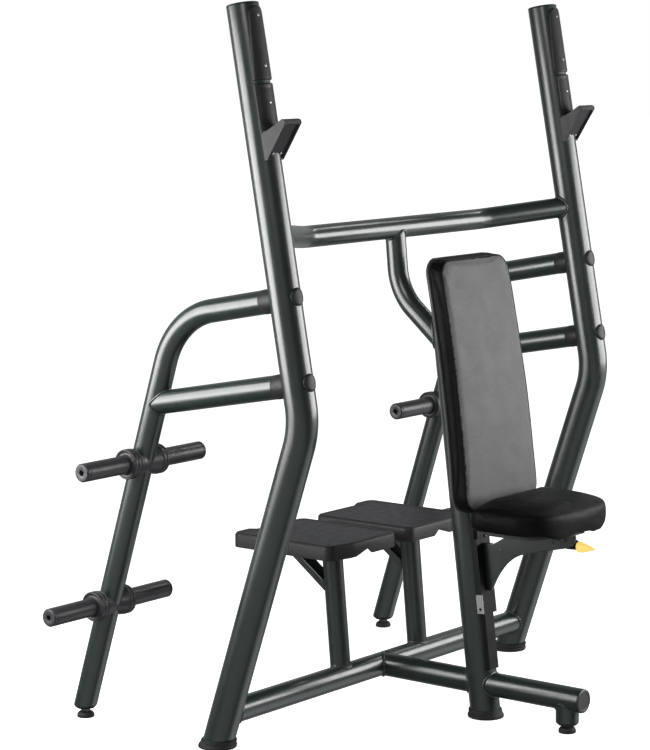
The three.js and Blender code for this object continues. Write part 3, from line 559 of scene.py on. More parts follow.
def bar_hook(label, x):
    """The wedge-shaped arm, with a recess in its sloping front, and the plate above it."""
    rim, toe = HOOK_RIM, HOOK_TOE
    slope = (HOOK_TIP - toe).normalized()
    inward = Vector((-slope.y, slope.x))
    length = (HOOK_TIP - toe).length
    rings = []
    for share in HOOK_SLICES:
        a = share * HOOK_HALF_WIDTH
        wall = sqrt((TUBE_RADIUS + SKIN) ** 2 - a * a)
        sunk = HOOK_RECESS if abs(share) < 0.84 else 0.0
        line = [toe, toe + slope * rim, toe + slope * (rim + 0.001) + inward * sunk,
                toe + slope * (length - rim - 0.001) + inward * sunk, toe + slope * (length - rim),
                HOOK_TIP, (0.1005, 1.5065), (0.092, 1.509), (0.0445, 1.4825), (wall, 1.478), (wall, toe.y)]
        rings.append([vec(x + a, upright_at(z).y - d, z) for d, z in line])
    arm = finished(f"bar_hook_arm_{label}", *skin(rings), PLASTIC, replaces=f"bar_hook_{label}")
    softened(arm, 0.0014, 3, 30)
    low, high = HOOK_PLATE_Z

    def height(a, z):
        edge = min(HOOK_HALF_WIDTH - abs(a), high - z)
        in_dish = min(0.0235 - abs(a), z - 1.486, high - 0.008 - z)
        dish = PLATE_DISH * rolled_edge(in_dish, 0.003, 1.0)
        return rolled_edge(edge, 0.003, STRIP_THICKNESS) - dish + FILM

    wrapped(f"bar_hook_plate_{label}", low, high, lambda z: HOOK_HALF_WIDTH, height, x, 70, 48)
    front_screw(f"hook_screw_{label}_1", x, PLATE_SCREW_Z, STRIP_THICKNESS - PLATE_DISH)
    foot = toe + slope * 0.016 + inward * (HOOK_RECESS - 0.0004)
    for i, offset in enumerate((-0.014, 0.014)):
        screw(f"hook_screw_{label}_{i + 2}", vec(x + offset, upright_at(foot.y).y - foot.x, foot.y),
              vec(0, inward.x, -inward.y))


def bolt_head(label, x, joint, level):
    """The head of a brace bolt, saddled to the front of the upright."""
    origin = across(x, joint)
    radius, steps, facets = 0.0215, 14, 48
    outer, inner = [], []
    for k in range(steps + 1):
        rho = radius * sin(pi / 2 * k / steps)
        rise = rolled_edge(radius - rho, 0.007, 0.0052)
        for rings, height in ((outer, rise), (inner, -0.002)):
            ring = []
            for j in range(facets):
                angle = 2 * pi * j / facets
                turn = rho * cos(angle) / TUBE_RADIUS
                way = UPRIGHT_AHEAD * cos(turn) + RIGHT * sin(turn)
                ring.append(origin + UPRIGHT_AXIS * rho * sin(angle) + way * (TUBE_RADIUS + height))
            rings.append(ring)
    finished(f"bolt_head_{level}_{label}", *skin(outer[1:] + inner[:0:-1]), PLASTIC,
             replaces=f"brace_bolt_{level}_{label}", sharp=60)


def rack_joint(label, x, level, front, rear):
    """Spacer collar and bolt head where a brace meets the upright."""
    origin, along = across(x, front), (rear - front).normalized()
    start = TUBE_RADIUS + COLLAR_LENGTH
    stations = [(origin + along * d, along) for d in (0, start - 0.001, start)]
    rings = rings_along(stations, BRACE_RADIUS + 0.0006)
    fit = on_upright(x, front.z)
    rings[0] = [fit(p, along) for p in rings[0]]
    rings[1] = [a.lerp(b, 0.96) for a, b in zip(rings[0], rings[2])]
    end = origin + along * start
    rings[2] = [end + (p - end) * 0.975 for p in rings[2]]
    finished(f"collar_{level}_{label}", *skin(rings), PLASTIC, replaces=f"brace_collar_{level}_{label}")
    meets = on_upright(x, front.z, 0)(origin, -along)
    bolt_head(label, x, origin + UPRIGHT_AXIS * (meets - origin).dot(UPRIGHT_AXIS), level)


PEG_CONE = (0.0292, 0.0362)  # radius of the collar's cone at the leg, at its wide end
PEG_FACETS, CONE_STEPS = 72, 6
PEG_CORE = 0.031  # where the hidden inner end closes, from the middle of the leg
PEG_BODY = [  # (r, h) from the leg outwards, after the cone
    (0.0362, 0.036), (0.0345, 0.0375), (0.0345, 0.0395), (0.037, 0.041), (0.037, 0.048),
    (0.0352, 0.0495), (0.0352, 0.051), (0.037, 0.0525), (0.037, 0.0585), (0.035, 0.061),
    (0.033, 0.0605), (0.03, 0.0575), (0.025, 0.0575), (0.0228, 0.0605), (0.0225, 0.066),
    (0.0225, 0.2), (0.0217, 0.2008), (0.0217, 0.202), (0.0225, 0.2028), (0.0225, 0.2085),
    (0.0195, 0.212), (0.0082, 0.212)]
PEG_SOCKET = [(0.0076, 0.2114), (0.0076, 0.199), (0, 0.199)]  # hexagonal


def storage_peg(label, x, level, end, side):
    """A moulded sleeve with a flanged collar whose cone saddles the rear leg."""
    origin, out = across(x, rear_leg_at(PEG_Z[level])), RIGHT * side
    leg = (REAR_CORNER - REAR_FOOT).normalized()
    square = leg.cross(RIGHT)
    body = rounded(PEG_BODY, 0.0012, 3)
    cone_end = body[0].y

    def cone(h):
        return PEG_CONE[0] + (PEG_CONE[1] - PEG_CONE[0]) * min(1, h / cone_end)

    starts = []  # where each line of the cone meets the leg
    for j in range(PEG_FACETS):
        start, sideways = 0.0, sin(2 * pi * j / PEG_FACETS)
        for _ in range(8):
            start = sqrt(max(0.0, (BRACE_RADIUS + SKIN) ** 2 - (cone(start) * sideways) ** 2))
        starts.append(max(start, 0.0006))
    ways = circle(Vector(), leg, square, 1, PEG_FACETS)
    rings = []
    for k in range(CONE_STEPS):
        heights = [start + (cone_end - start) * k / CONE_STEPS for start in starts]
        rings.append([origin + out * h + way * cone(h) for h, way in zip(heights, ways)])
    for i, (r, h) in enumerate(body + PEG_SOCKET):
        rings.append(circle(origin + out * h, leg, square, max(r, 1e-5), PEG_FACETS, i >= len(body)))
    core = [p.lerp(origin + out * PEG_CORE, 0.9) for p in rings[0]]
    # The peg is drawn in the lit copy of the charcoal plastic, painted lighter than the steps and hooks.
    finished(f"peg_{level}_{label}_{end}", *skin([core] + rings), PAINTED_LIGHT_PLASTIC,
             replaces=f"storage_peg_{level}_{label}_{end}", slot="charcoal_plastic")


CUP_PROFILE = [(0.0445, 0.0), (0.0452, 0.0012), (0.0452, 0.0065), (0.044, 0.0085), (0.0425, 0.0095),
               (0.042, 0.018), (0.0412, 0.0205), (0.04, 0.021), (0.0385, 0.0205), (0.0385, 0.008)]
PAD_PROFILE = [(0, 0), (0.0215, 0), (0.0215, 0.0075), (0.0175, 0.0135), (0.0085, 0.014), (0, 0.014)]
NUT_BOTTOM = 0.0141
PLUG_REACH = 0.0085  # how far a plug stands out of its tube


def foot_cup(name, low, direction, node):
    """A rubber cup round the foot of a leaning tube, with level rings."""
    axis = direction.normalized()
    rings = [[on_level(z)(p, axis) for p in circle(low, *frame_about(axis), radius, FACETS)]
             for radius, z in CUP_PROFILE]
    finished(name, *skin(rings), RUBBER, replaces=node, sharp=50)


def levelling_foot(name, x, y, tube_bottom, tube_radius):
    """Pad and hexagonal nut of a levelling foot, and the plug in the end of the tube above it."""
    origin = vec(x, y, 0)
    turned(f"{name}_pad", rounded(PAD_PROFILE, 0.002), origin, UP, RUBBER, replaces=name, body=name)
    plug_bottom = tube_bottom - PLUG_REACH
    low, high = NUT_BOTTOM, plug_bottom - 0.0004
    nut = [(0, low), (0.0112, low), (0.0122, 0.0152), (0.0122, high - 0.001), (0.0112, high), (0, high)]
    turned(f"{name}_nut", nut, origin, UP, NUT, 48, (1, 2, 3, 4), body=name, slot="zinc")
    rim, plug_top = tube_radius + 0.0004, tube_bottom - SKIN
    plug = [(0, plug_bottom), (tube_radius - 0.006, plug_bottom), (rim - 0.001, plug_bottom + 0.0055),
            (rim, plug_top), (0, plug_top)]
    turned(name.replace("levelling_foot", "tube_plug"), rounded(plug, 0.002), origin, UP, RUBBER, 64,
           slot="charcoal_plastic")


TOP_CAP = [(0, 0), (0.0378, 0), (0.0378, 0.0028), (0.034, 0.0042), (0.03, 0.0036), (0, 0.0036)]
BEAM_CAP = [(0, 0), (0.0294, 0), (0.0294, 0.003), (0.0262, 0.0048), (0.0225, 0.0044), (0.0215, 0.0036),
            (0, 0.0036)]
TUBE_END_Z = 0.006  # where a leaning tube stops inside its cup


def rack_side(label, x):
    foot, elbow, top = (across(x, p) for p in (UPRIGHT_FOOT, UPRIGHT_ELBOW, UPRIGHT_TOP))
    pipe(f"upright_tube_{label}", run_of_pipe([foot, elbow, top], UPRIGHT_BEND, 24), TUBE_RADIUS,
         on_level(TUBE_END_Z), replaces=f"upright_{label}")
    turned(f"top_cap_{label}", rounded(TOP_CAP, 0.0009, 4), top + UPRIGHT_AXIS * SKIN, UPRIGHT_AXIS, RAIL, 64,
           replaces=f"upright_top_cap_{label}", slot="rubber_black")
    foot_cup(f"upright_cup_{label}", foot, elbow - foot, f"upright_foot_{label}")

    front = upright_at(TOP_BRACE_Z)
    collar = TUBE_RADIUS + COLLAR_LENGTH + SKIN
    brace_end = front - (front - REAR_CORNER).normalized() * collar
    corners = [across(x, p) for p in (REAR_FOOT, REAR_CORNER, brace_end)]
    pipe(f"rear_frame_tube_{label}", run_of_pipe(corners, REAR_BEND, 28), BRACE_RADIUS,
         on_level(REAR_LEG_BOTTOM), replaces=f"rear_frame_{label}")
    rack_joint(label, x, "upper", front, REAR_CORNER)

    front, rear = upright_at(LOWER_BRACE_Z[0]), rear_leg_at(LOWER_BRACE_Z[1])
    back = (rear - front).normalized()
    on_leg = on_tube(across(x, REAR_FOOT), REAR_CORNER - REAR_FOOT, BRACE_RADIUS + SKIN)
    pipe(f"lower_brace_tube_{label}", [(across(x, front + back * collar), back), (across(x, rear), back)],
         BRACE_RADIUS, None, on_leg, f"lower_brace_{label}", (None, f"lower_brace_{label}"), THIN_WELD_RADIUS)
    rack_joint(label, x, "lower", front, rear)

    bar_hook(label, x)
    guard_strip(label, x)
    for level in PEG_Z:
        for end, side in (("a", -1), ("b", 1)):
            storage_peg(label, x, level, end, side)
        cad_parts[f"peg_bar_{level}_{label}"].data.materials[0] = ZINC
    levelling_foot(f"rear_levelling_foot_{label}", x, rear_leg_at(REAR_LEG_BOTTOM).y, REAR_LEG_BOTTOM,
                   BRACE_RADIUS)


# ---- tubes across the middle
BASE_MIDDLE = vec(0, CROSSBAR_Y, BASE_Z)
UPPER_BAR_MIDDLE = vec(0, UPPER_BAR_Y, UPPER_BAR_Z)
UPPER_BAR_BEND = 0.12
HANGER_BEND = 0.15
HANGER_REACH = 0.157  # from the knee forward to the column
on_crossbar = on_tube(BASE_MIDDLE, RIGHT, BASE_RADIUS + SKIN)
on_upper_bar = on_tube(UPPER_BAR_MIDDLE, RIGHT, UPPER_BAR_RADIUS + SKIN)


def straight(start, end):
    """Stations of a straight pipe."""
    return run_of_pipe([start, end])


def middle_tubes():
    ends = [across(side * UPRIGHT_X, BASE_MIDDLE) for side in (-1, 1)]
    pipe("base_crossbar_tube", straight(*ends), BASE_RADIUS, on_upright(-UPRIGHT_X, BASE_Z),
         on_upright(UPRIGHT_X, BASE_Z), "base_crossbar", ("crossbar_left", "crossbar_right"))

    ends = [across(side * UPRIGHT_X, upright_at(UPPER_BAR_END_Z)) for side in (-1, 1)]
    knees = [across(side * UPPER_BAR_KNEE, UPPER_BAR_MIDDLE) for side in (-1, 1)]
    pipe("upper_crossbar_tube", run_of_pipe([ends[0], *knees, ends[1]], UPPER_BAR_BEND), UPPER_BAR_RADIUS,
         on_upright(-UPRIGHT_X, UPPER_BAR_END_Z), on_upright(UPRIGHT_X, UPPER_BAR_END_Z), "upper_crossbar",
         ("upper_bar_left", "upper_bar_right"))

    pipe("column_tube", straight(COLUMN_FOOT, column_at(COLUMN_TOP_Z)), TUBE_RADIUS, on_level(TUBE_END_Z),
         replaces="column")
    foot_cup("column_cup", COLUMN_FOOT, column_at(1) - COLUMN_FOOT, "column_foot")

    meets = column_at(HANGER_KNEE.z - HANGER_SLOPE * HANGER_REACH)
    pipe("hanger_tube_pipe", run_of_pipe([UPPER_BAR_MIDDLE, HANGER_KNEE, meets], HANGER_BEND), HANGER_RADIUS,
         on_upper_bar, on_column, "hanger_tube", ("hanger_top", "hanger_bottom"))

    pipe("beam_rear_tube", straight(column_at(BASE_Z), BASE_MIDDLE), BASE_RADIUS, on_column, on_crossbar,
         "base_beam_rear", ("beam_rear_column", "beam_rear_crossbar"))
    front_end = vec(0, BEAM_FRONT, BASE_Z)
    pipe("beam_front_tube", straight(front_end, column_at(BASE_Z)), BASE_RADIUS, None, on_column,
         "base_beam_front", (None, "beam_front_column"))
    stub_top = vec(0, STUB_Y, BASE_Z)
    pipe("beam_stub_tube", straight(stub_top, vec(0, STUB_Y, STUB_BOTTOM)), STUB_RADIUS,
         on_tube(stub_top, REARWARD, BASE_RADIUS), welds=("stub",), weld_radius=THIN_WELD_RADIUS)
    # The cap is drawn in the lit copy of the charcoal plastic, painted lighter than the steps and hooks.
    turned("beam_cap", rounded(BEAM_CAP, 0.0009, 4), front_end - REARWARD * SKIN, -REARWARD, PAINTED_LIGHT_PLASTIC, 64,
           replaces="beam_end_cap", slot="charcoal_plastic")
    levelling_foot("front_levelling_foot", 0, STUB_Y, STUB_BOTTOM, STUB_RADIUS)


# ---- spotter steps
SKIRT_BOTTOM = STEP_TOP - 0.038
POST_LOW, POST_HIGH = vec(0, 0.0826, 0.101), vec(0, 0.1053, 0.37)
NOTCH = [(0.132, 0.0), (0.15, 0.014), (0.196, 0.0)]  # (x, rise) of the notch in the front of the skirt
STEP_FRONT_X = (0.08, 0.11, 0.132, 0.136, 0.1455, 0.15, 0.155, 0.165, 0.185, 0.191, 0.196, 0.22)
STEP_EDGE = [(0.0, STEP_TOP - 0.0075), (0.0012, STEP_TOP - 0.0045), (0.005, STEP_TOP - 0.0004),
             (0.013, STEP_TOP - 0.0002), (0.0142, STEP_TOP - 0.0012)]  # (inset, z) up to the panel
STEP_CEILING = STEP_TOP - 0.006
HEAD_PLATE = 0.005  # thickness


def step_plan(inset):
    """Plan of the right-hand step, from its inner front corner round to its inner rear corner."""
    low, high, front, rear = 0.025 + inset, 0.288 - inset, 0.002 + inset, 0.336 - inset
    corner = 0.024 - inset
    line = arc((low + corner, front + corner), corner, 180, 270, 8)
    line += [(x, front) for x in STEP_FRONT_X]
    line += arc((high - corner, front + corner + 0.01), corner, -90, 0, 8)
    line += arc((high - corner, rear - corner), corner, 0, 90, 8)
    line += [(0.219 + inset, rear), (0.207 + inset, rear - 0.018)]
    line += arc((low + corner, rear - 0.018 - corner), corner, 90, 180, 8)
    return line


def notch_rise(u, v):
    if v > 0.012:
        return 0.0
    for (x0, z0), (x1, z1) in zip(NOTCH, NOTCH[1:]):
        if x0 <= u <= x1:
            return z0 + (z1 - z0) * (u - x0) / (x1 - x0)
    return 0.0


def foot_step(label, side):
    rings = [[vec(side * u, v, STEP_CEILING) for u, v in step_plan(0.005)]]
    for inset in (0.0045, 0.0):
        rings.append([vec(side * u, v, SKIRT_BOTTOM + notch_rise(*outer))
                      for (u, v), outer in zip(step_plan(inset), step_plan(0))])
    rings += [[vec(side * u, v, z) for u, v in step_plan(inset)] for inset, z in STEP_EDGE]
    tray = finished(f"step_tray_{label}", *skin(rings), PLASTIC, replaces=f"foot_step_{label}", sharp=24)
    softened(tray, 0.0016, 3, 28)


def step_post(label, x):
    def post_at(z):
        return between(POST_LOW, POST_HIGH, z)

    plate_top = STEP_CEILING - SKIN
    plate_bottom = plate_top - HEAD_PLATE
    low, high = across(x, post_at(BASE_Z)), across(x, post_at(plate_bottom))
    pipe(f"step_post_tube_{label}", straight(low, high), POST_RADIUS, on_crossbar, on_level(plate_bottom),
         f"step_post_{label}", (f"post_{label}",), THIN_WELD_RADIUS)
    front, rear = high.y - 0.06, high.y + 0.19
    outline = [(x - 0.07, front), (x + 0.07, front), (x + 0.07, rear), (x - 0.07, rear)]
    softened(slab(f"step_head_plate_{label}", outline, plate_bottom, plate_top, vec, PAINT), 0.0015)
    strut_top = plate_bottom - 0.0005
    line = [(post_at(0.3).y + 0.018, 0.3), (high.y + 0.188, strut_top), (high.y + 0.152, strut_top),
            (post_at(0.33).y + 0.018, 0.33)]
    softened(slab(f"step_strut_{label}", line, x - 0.02, x + 0.02, side_view, PAINT), 0.004, 4)


# ---- upholstery
BACK_Z = (0.536, 1.157)
BACK_HALF = (0.155, 0.145)  # at the bottom, at the top
BACK_CORNER = 0.046
BACK_CURVE = [(-0.3085, 0.536), (-0.2875, 0.829), (-0.216, 1.157)]  # (y, z) of its front face
BACK_SIDE_STEPS = 28
BACK_THICKNESS = 0.042
BACK_SEAM = 0.0034  # how far behind the front face the seam lies
WELT_RADIUS = 0.0023
PAD_VOXEL = 0.0045
CLOTH = {"quality": 6, "mass": 0.4, "use_pressure": True, "tension_stiffness": 12,
         "compression_stiffness": 12, "shear_stiffness": 8, "bending_stiffness": 2,
         "vertex_group_mass": "held"}
CLOTH_FRAMES = 20


def back_face_y(z):
    """y of the front face of the backrest at height z."""
    (y0, z0), (y1, z1), (y2, z2) = BACK_CURVE
    a, b, c = z0 - 2 * z1 + z2, 2 * (z1 - z0), z0 - z
    t = (-b + sqrt(b * b - 4 * a * c)) / (2 * a) if abs(a) > 1e-9 else -c / b
    return y0 * (1 - t) ** 2 + y1 * 2 * t * (1 - t) + y2 * t * t


def back_view(inset):
    """Front view outline (x, z) of the backrest."""
    low, high, r = BACK_HALF[0] - inset, BACK_HALF[1] - inset, BACK_CORNER - inset
    bottom, top = BACK_Z[0] + inset + r, BACK_Z[1] - inset - r
    side = [i / BACK_SIDE_STEPS for i in range(1, BACK_SIDE_STEPS)]
    half = arc((low - r, bottom), r, -90, 0, 10)
    half += [(low + (high - low) * t, bottom + (top - bottom) * t) for t in side]
    half += arc((high - r, top), r, 0, 90, 10)
    return half + [(-x, z) for x, z in reversed(half)]


def back_ring(inset, depth):
    return [vec(x, back_face_y(z) + depth, z) for x, z in back_view(inset)]


def back_closing(inset, depth, crown=0.0):
    """Closes the front or rear of a layer of the backrest, swelling by crown towards its middle."""
    def place(x, z, size):
        return vec(x, back_face_y(z) + depth - crown * (1 - size ** 2.5), z)
    return closing(back_view(inset), place)


def remeshed(name, rings, material, node, body):
    """A closed, evenly meshed solid through rings."""
    obj = finished(name, *skin(rings), material, body=body, replaces=node)
    remesh = obj.modifiers.new("remesh", "REMESH")
    remesh.mode = "VOXEL"
    remesh.voxel_size = PAD_VOXEL
    applied(obj)
    return obj


def applied(obj):
    """Makes the evaluated mesh of a piece its own mesh."""
    evaluated = obj.evaluated_get(bpy.context.evaluated_depsgraph_get())
    mesh = bpy.data.meshes.new_from_object(evaluated)
    materials = list(obj.data.materials)
    obj.modifiers.clear()
    obj.data = mesh
    mesh.materials.clear()
    for one in materials:
        mesh.materials.append(one)
    mesh.polygons.foreach_set("use_smooth", [True] * len(mesh.polygons))


def inflated(obj, held, pressure, cap):
    """Lets the cover swell by cloth simulation: the held vertices stay, and no point moves more than cap."""
    before = [v.co.copy() for v in obj.data.vertices]
    group = obj.vertex_groups.new(name="held")
    group.add([v.index for v in obj.data.vertices if held(v.co)], 1, "REPLACE")
    cloth = obj.modifiers.new("swell", "CLOTH")
    for key, value in CLOTH.items():
        setattr(cloth.settings, key, value)
    cloth.settings.uniform_pressure_force = pressure
    cloth.settings.effector_weights.gravity = 0
    cloth.collision_settings.use_collision = False
    cloth.collision_settings.use_self_collision = False
    for step in range(1, CLOTH_FRAMES + 1):
        bpy.context.scene.frame_set(step)
    applied(obj)
    bpy.context.scene.frame_set(1)
    for vertex, old in zip(obj.data.vertices, before):
        move = vertex.co - old
        if move.length > cap:
            vertex.co = old + move * (cap / move.length)
    obj.vertex_groups.clear()


def smoothed(obj, repeat):
    shape = bmesh.new()
    shape.from_mesh(obj.data)
    for _ in range(repeat):
        bmesh.ops.smooth_vert(shape, verts=shape.verts, factor=0.5, use_axis_x=True, use_axis_y=True,
                              use_axis_z=True)
    shape.to_mesh(obj.data)
    shape.free()


def subdivided(obj):
    """One level of subdivision, applied."""
    modifier = obj.modifiers.new("fine", "SUBSURF")
    modifier.levels = modifier.render_levels = 1
    applied(obj)


def backrest():
    rear, front = BACK_THICKNESS - 0.0005, 0.0022
    levels = [(0.0015, rear), (0.001, 0.03), (0.001, 0.01), (0.0012, 0.004), (0.003, front),
              (0.01, front - 0.0008)]
    rings = back_closing(*levels[0])[::-1] + [back_ring(*level) for level in levels]
    rings += back_closing(*levels[-1], 0.0012)
    pad = remeshed("backrest_cushion", rings, [GREY_VINYL, BLACK_VINYL], "backrest_pad", "frame")
    smoothed(pad, 2)
    inflated(pad, lambda p: p.y - back_face_y(p.z) > BACK_THICKNESS - 0.008, 3.0, 0.0022)
    seam = back_ring(0.003, BACK_SEAM)
    grooved(pad, seam, 0.003, 0.0008)
    subdivided(pad)
    panel_split(pad)
    welt("backrest_welt", pad, seam)

    low, high = BACK_THICKNESS + SKIN, BACK_THICKNESS + 0.01
    levels = [(0.0035, low), (0.0015, low + 0.0017), (0.0015, high - 0.0025), (0.003, high - 0.0008),
              (0.006, high)]
    rings = back_closing(*levels[0])[::-1] + [back_ring(*level) for level in levels]
    finished("backrest_board", *skin(rings + back_closing(*levels[-1])), BOARD, replaces="backrest_shell",
             sharp=50)


def panel_split(pad):
    """The front panel is grey, and the boxing round it is black."""
    for face in pad.data.polygons:
        middle = face.center
        face.material_index = 0 if middle.y - back_face_y(middle.z) < BACK_SEAM else 1


def tree_of(obj):
    shape = bmesh.new()
    shape.from_mesh(obj.data)
    tree = BVHTree.FromBMesh(shape)
    shape.free()
    return tree


def grooved(obj, line, width, depth):
    """Presses a groove into a pad along a line of points."""
    tree = tree_of(obj)
    dense = []
    for a, b in zip(line, line[1:] + line[:1]):
        steps = max(1, round((b - a).length / 0.002))
        dense += [a.lerp(b, i / steps) for i in range(steps)]
    on_skin = [tree.find_nearest(p)[0] for p in dense]
    near = KDTree(len(on_skin))
    for i, p in enumerate(on_skin):
        near.insert(p, i)
    near.balance()
    normals = [v.normal.copy() for v in obj.data.vertices]
    for vertex, normal in zip(obj.data.vertices, normals):
        distance = near.find(vertex.co)[2]
        if distance < width:
            vertex.co -= normal * depth * (0.5 + 0.5 * cos(pi * distance / width))


def welt(name, pad, line):
    """A thin welt that lies in the seam."""
    tree = tree_of(pad)
    points = [tree.find_nearest(p)[0] for p in line]
    count = len(points)
    points = [(points[i - 1] + points[i] * 2 + points[(i + 1) % count]) / 4 for i in range(count)]
    rings = []
    for i in range(count):
        tangent = (points[(i + 1) % count] - points[i - 1]).normalized()
        first = (REARWARD - tangent * REARWARD.dot(tangent)).normalized()
        rings.append(circle(points[i], first, tangent.cross(first), WELT_RADIUS, 10))
    finished(name, *looped(rings), BLACK_VINYL, sharp=180)


SEAT_HALF = 0.175
SEAT_Y = (-0.54, -0.312)  # front, rear
SEAT_NOSE = 0.126  # how far the round front reaches
SEAT_Z = (0.507, 0.573)
SEAT_SQUARENESS = 3.2  # of the front's curve; 2 is an ellipse
SEAT_FRONT_STEPS = 60
CROWN_REAR, CROWN_LOSS = 0.023, 0.012  # its height at the rear, and how much less it is at the front
DROOP_MIDDLE, DROOP_SIDES = 0.007, 0.01  # droop above the lever, and what the sides add to it


def seat_view(inset):
    """Plan outline (x, y) of the seat: a round front, a straight rear with round corners."""
    half, reach, corner = SEAT_HALF - inset, SEAT_NOSE - inset, 0.034
    middle, rear = SEAT_Y[0] + SEAT_NOSE, SEAT_Y[1] - inset
    power = 2 / SEAT_SQUARENESS
    line = []
    for i in range(SEAT_FRONT_STEPS + 1):
        share = i / SEAT_FRONT_STEPS
        c, d = cos(pi * (1 + share)), sin(pi * share)
        line.append((half * copysign(abs(c) ** power, c), middle - reach * d ** power))
    line += arc((half - corner, rear - corner), corner, 0, 90, 12)
    return line + arc((corner - half, rear - corner), corner, 90, 180, 12)


def seat_share(y):
    """0 at the rear of the seat, 1 at its front."""
    return (SEAT_Y[1] - y) / (SEAT_Y[1] - SEAT_Y[0])


def seat_crown(x, y):
    """How far the top of the seat stands above its rim: most at the rear, across the middle."""
    sideways = min(1.0, abs(x) / SEAT_HALF)
    return (1 - sideways ** 3.2) * (CROWN_REAR - CROWN_LOSS * seat_share(y))


def seat_droop(x, y):
    """How far the front of the seat curls down over the board: less in the middle, above the lever."""
    deep = DROOP_MIDDLE + DROOP_SIDES * min(1.0, abs(x) / 0.06) ** 2
    return deep * min(1.0, max(0.0, (seat_share(y) - 0.86) / 0.1)) ** 1.5


def seat():
    low, high = SEAT_Z[0], SEAT_Z[1] - 0.01
    under_z, board_top = low + 0.0005, low - SKIN
    levels = [(0.008, under_z, 1), (0.003, low + 0.004, 1), (0.001, low + 0.012, 0.8),
              (0.0008, low + 0.03, 0.4), (0.002, high - 0.012, 0), (0.007, high - 0.003, 0),
              (0.016, high, 0)]  # inset, height, share of the droop

    def top(u, v, size):
        return vec(u, v, high + seat_crown(u, v) * min(1, (1 - size) / 0.25) ** 0.7)

    def under(u, v, size):
        return vec(u, v, under_z - max(0.0, min(1.0, (size - 0.86) / 0.1)) * seat_droop(u, v))

    rings = closing(seat_view(0.008), under, 24)[::-1]
    rings += [[vec(u, v, z - share * seat_droop(u, v)) for u, v in seat_view(inset)]
              for inset, z, share in levels]
    rings += closing(seat_view(0.016), top, 14)
    pad = remeshed("seat_cushion", rings, BLACK_VINYL, "seat_pad", "seat")
    smoothed(pad, 4)
    inflated(pad, lambda p: p.z < low + 0.004, 2.0, 0.002)
    smoothed(pad, 2)
    subdivided(pad)
    board = slab("seat_base_board", seat_view(0.022), board_top - 0.01, board_top, vec, BOARD,
                 body="seat", replaces="seat_board")
    softened(board, 0.003, 4)


# ---- seat mechanism
BRACKET_TOP = 0.4964
BRACKET_PLATE = 0.005  # thickness of its top
BRACKET_HALF, BRACKET_REACH = 0.04, (-0.518, -0.357)
BRACKET_SCREWS = [(-0.4545, 0.4695), (-0.3005, 0.4285)]
LEAN = atan(COLUMN_SLOPE)
CARRIAGE_FRONT = 0.0448  # ahead of the column's axis


def column_frame(ahead, x, up):
    """A point by its distance ahead of the column's axis and its height up that axis."""
    y = COLUMN_FOOT.y - ahead * cos(LEAN) + up * sin(LEAN)
    return vec(x, y, ahead * sin(LEAN) + up * cos(LEAN))


def seat_bracket():
    front, rear = BRACKET_REACH
    under_top = BRACKET_TOP - BRACKET_PLATE - 0.0005
    line = [(column_at(z).y - CARRIAGE_FRONT / cos(LEAN), z) for z in (0.442, 0.323)]
    line += curve((-0.272, 0.323), (-0.307, 0.411), (-0.37, 0.427), 12) + [(-0.45, 0.447)]
    line += curve((-0.5, 0.459), (-0.517, 0.465), (front, 0.482), 6)
    line += [(front, under_top), (rear, under_top), (-0.276, 0.442)]
    plate = slab("seat_bracket_plate", line, -0.004, 0.004, side_view, PAINT, body="seat",
                 replaces="seat_bracket")
    softened(plate, 0.0018, 3, 50)
    half = BRACKET_HALF
    line = [(-half, front), (half, front), (half, rear), (-half, rear)]
    top = slab("seat_bracket_top", line, BRACKET_TOP - BRACKET_PLATE, BRACKET_TOP, vec, PAINT, body="seat")
    softened(top, 0.0015)
    for i, (y, z) in enumerate(BRACKET_SCREWS):
        screw(f"bracket_screw_{i + 1}", vec(-0.004, y, z), -RIGHT, 0.0045, "seat", NUT)


WEB_X = (0.0046, 0.0156)
LEVER_WEB = [(0.008, 0.004), (0.006, -0.025), (-0.006, -0.027), (-0.042, -0.025), (-0.044, -0.009),
             (-0.014, 0.004)]  # (y, z) from the pivot
HANDLE_X, HANDLE_ROOT, HANDLE_TIP = 0.0025, (-0.0335, -0.016), (-0.0875, -0.0165)
HANDLE_HALF = (0.009, 0.0135)
HANDLE_SHAPE = [(0.0, 0.3), (0.05, 0.8), (0.12, 1.0), (0.25, 1.02), (0.45, 0.86), (0.65, 0.62),
                (0.85, 0.36), (0.95, 0.2), (1.0, 0.04)]  # (share of the length, share of the thickness)


def release_lever():
    """Cranked web on a cross pin, and a teardrop handle."""
    y, z = LEVER_PIVOT.y, LEVER_PIVOT.z
    near, far = WEB_X
    web = slab("lever_web", [(y + dy, z + dz) for dy, dz in LEVER_WEB], near, far, side_view, RAIL,
               body="release_lever")
    softened(web, 0.0025, 4)
    pin = [(0, -far), (0.005, -far), (0.005, near), (0.0082, near), (0.0082, near + 0.0036),
           (0.0068, near + 0.0048), (0, near + 0.0048)]
    turned("lever_pin", rounded(pin, 0.0008), LEVER_PIVOT, -RIGHT, NUT, body="release_lever", slot="zinc")
    root, tip = (LEVER_PIVOT + vec(HANDLE_X, *end) for end in (HANDLE_ROOT, HANDLE_TIP))
    rings = [circle(root.lerp(tip, share), RIGHT * HANDLE_HALF[0], UP * HANDLE_HALF[1], size, 32)
             for share, size in rounded(HANDLE_SHAPE, 0.08, 3)]
    finished("lever_handle", *skin(rings), YELLOW, body="release_lever", replaces="release_lever", sharp=60)


LOCK_PIN_X, LOCK_PIN_DROP = 0.012, 0.02  # beside the column's axis, below the lever's pivot


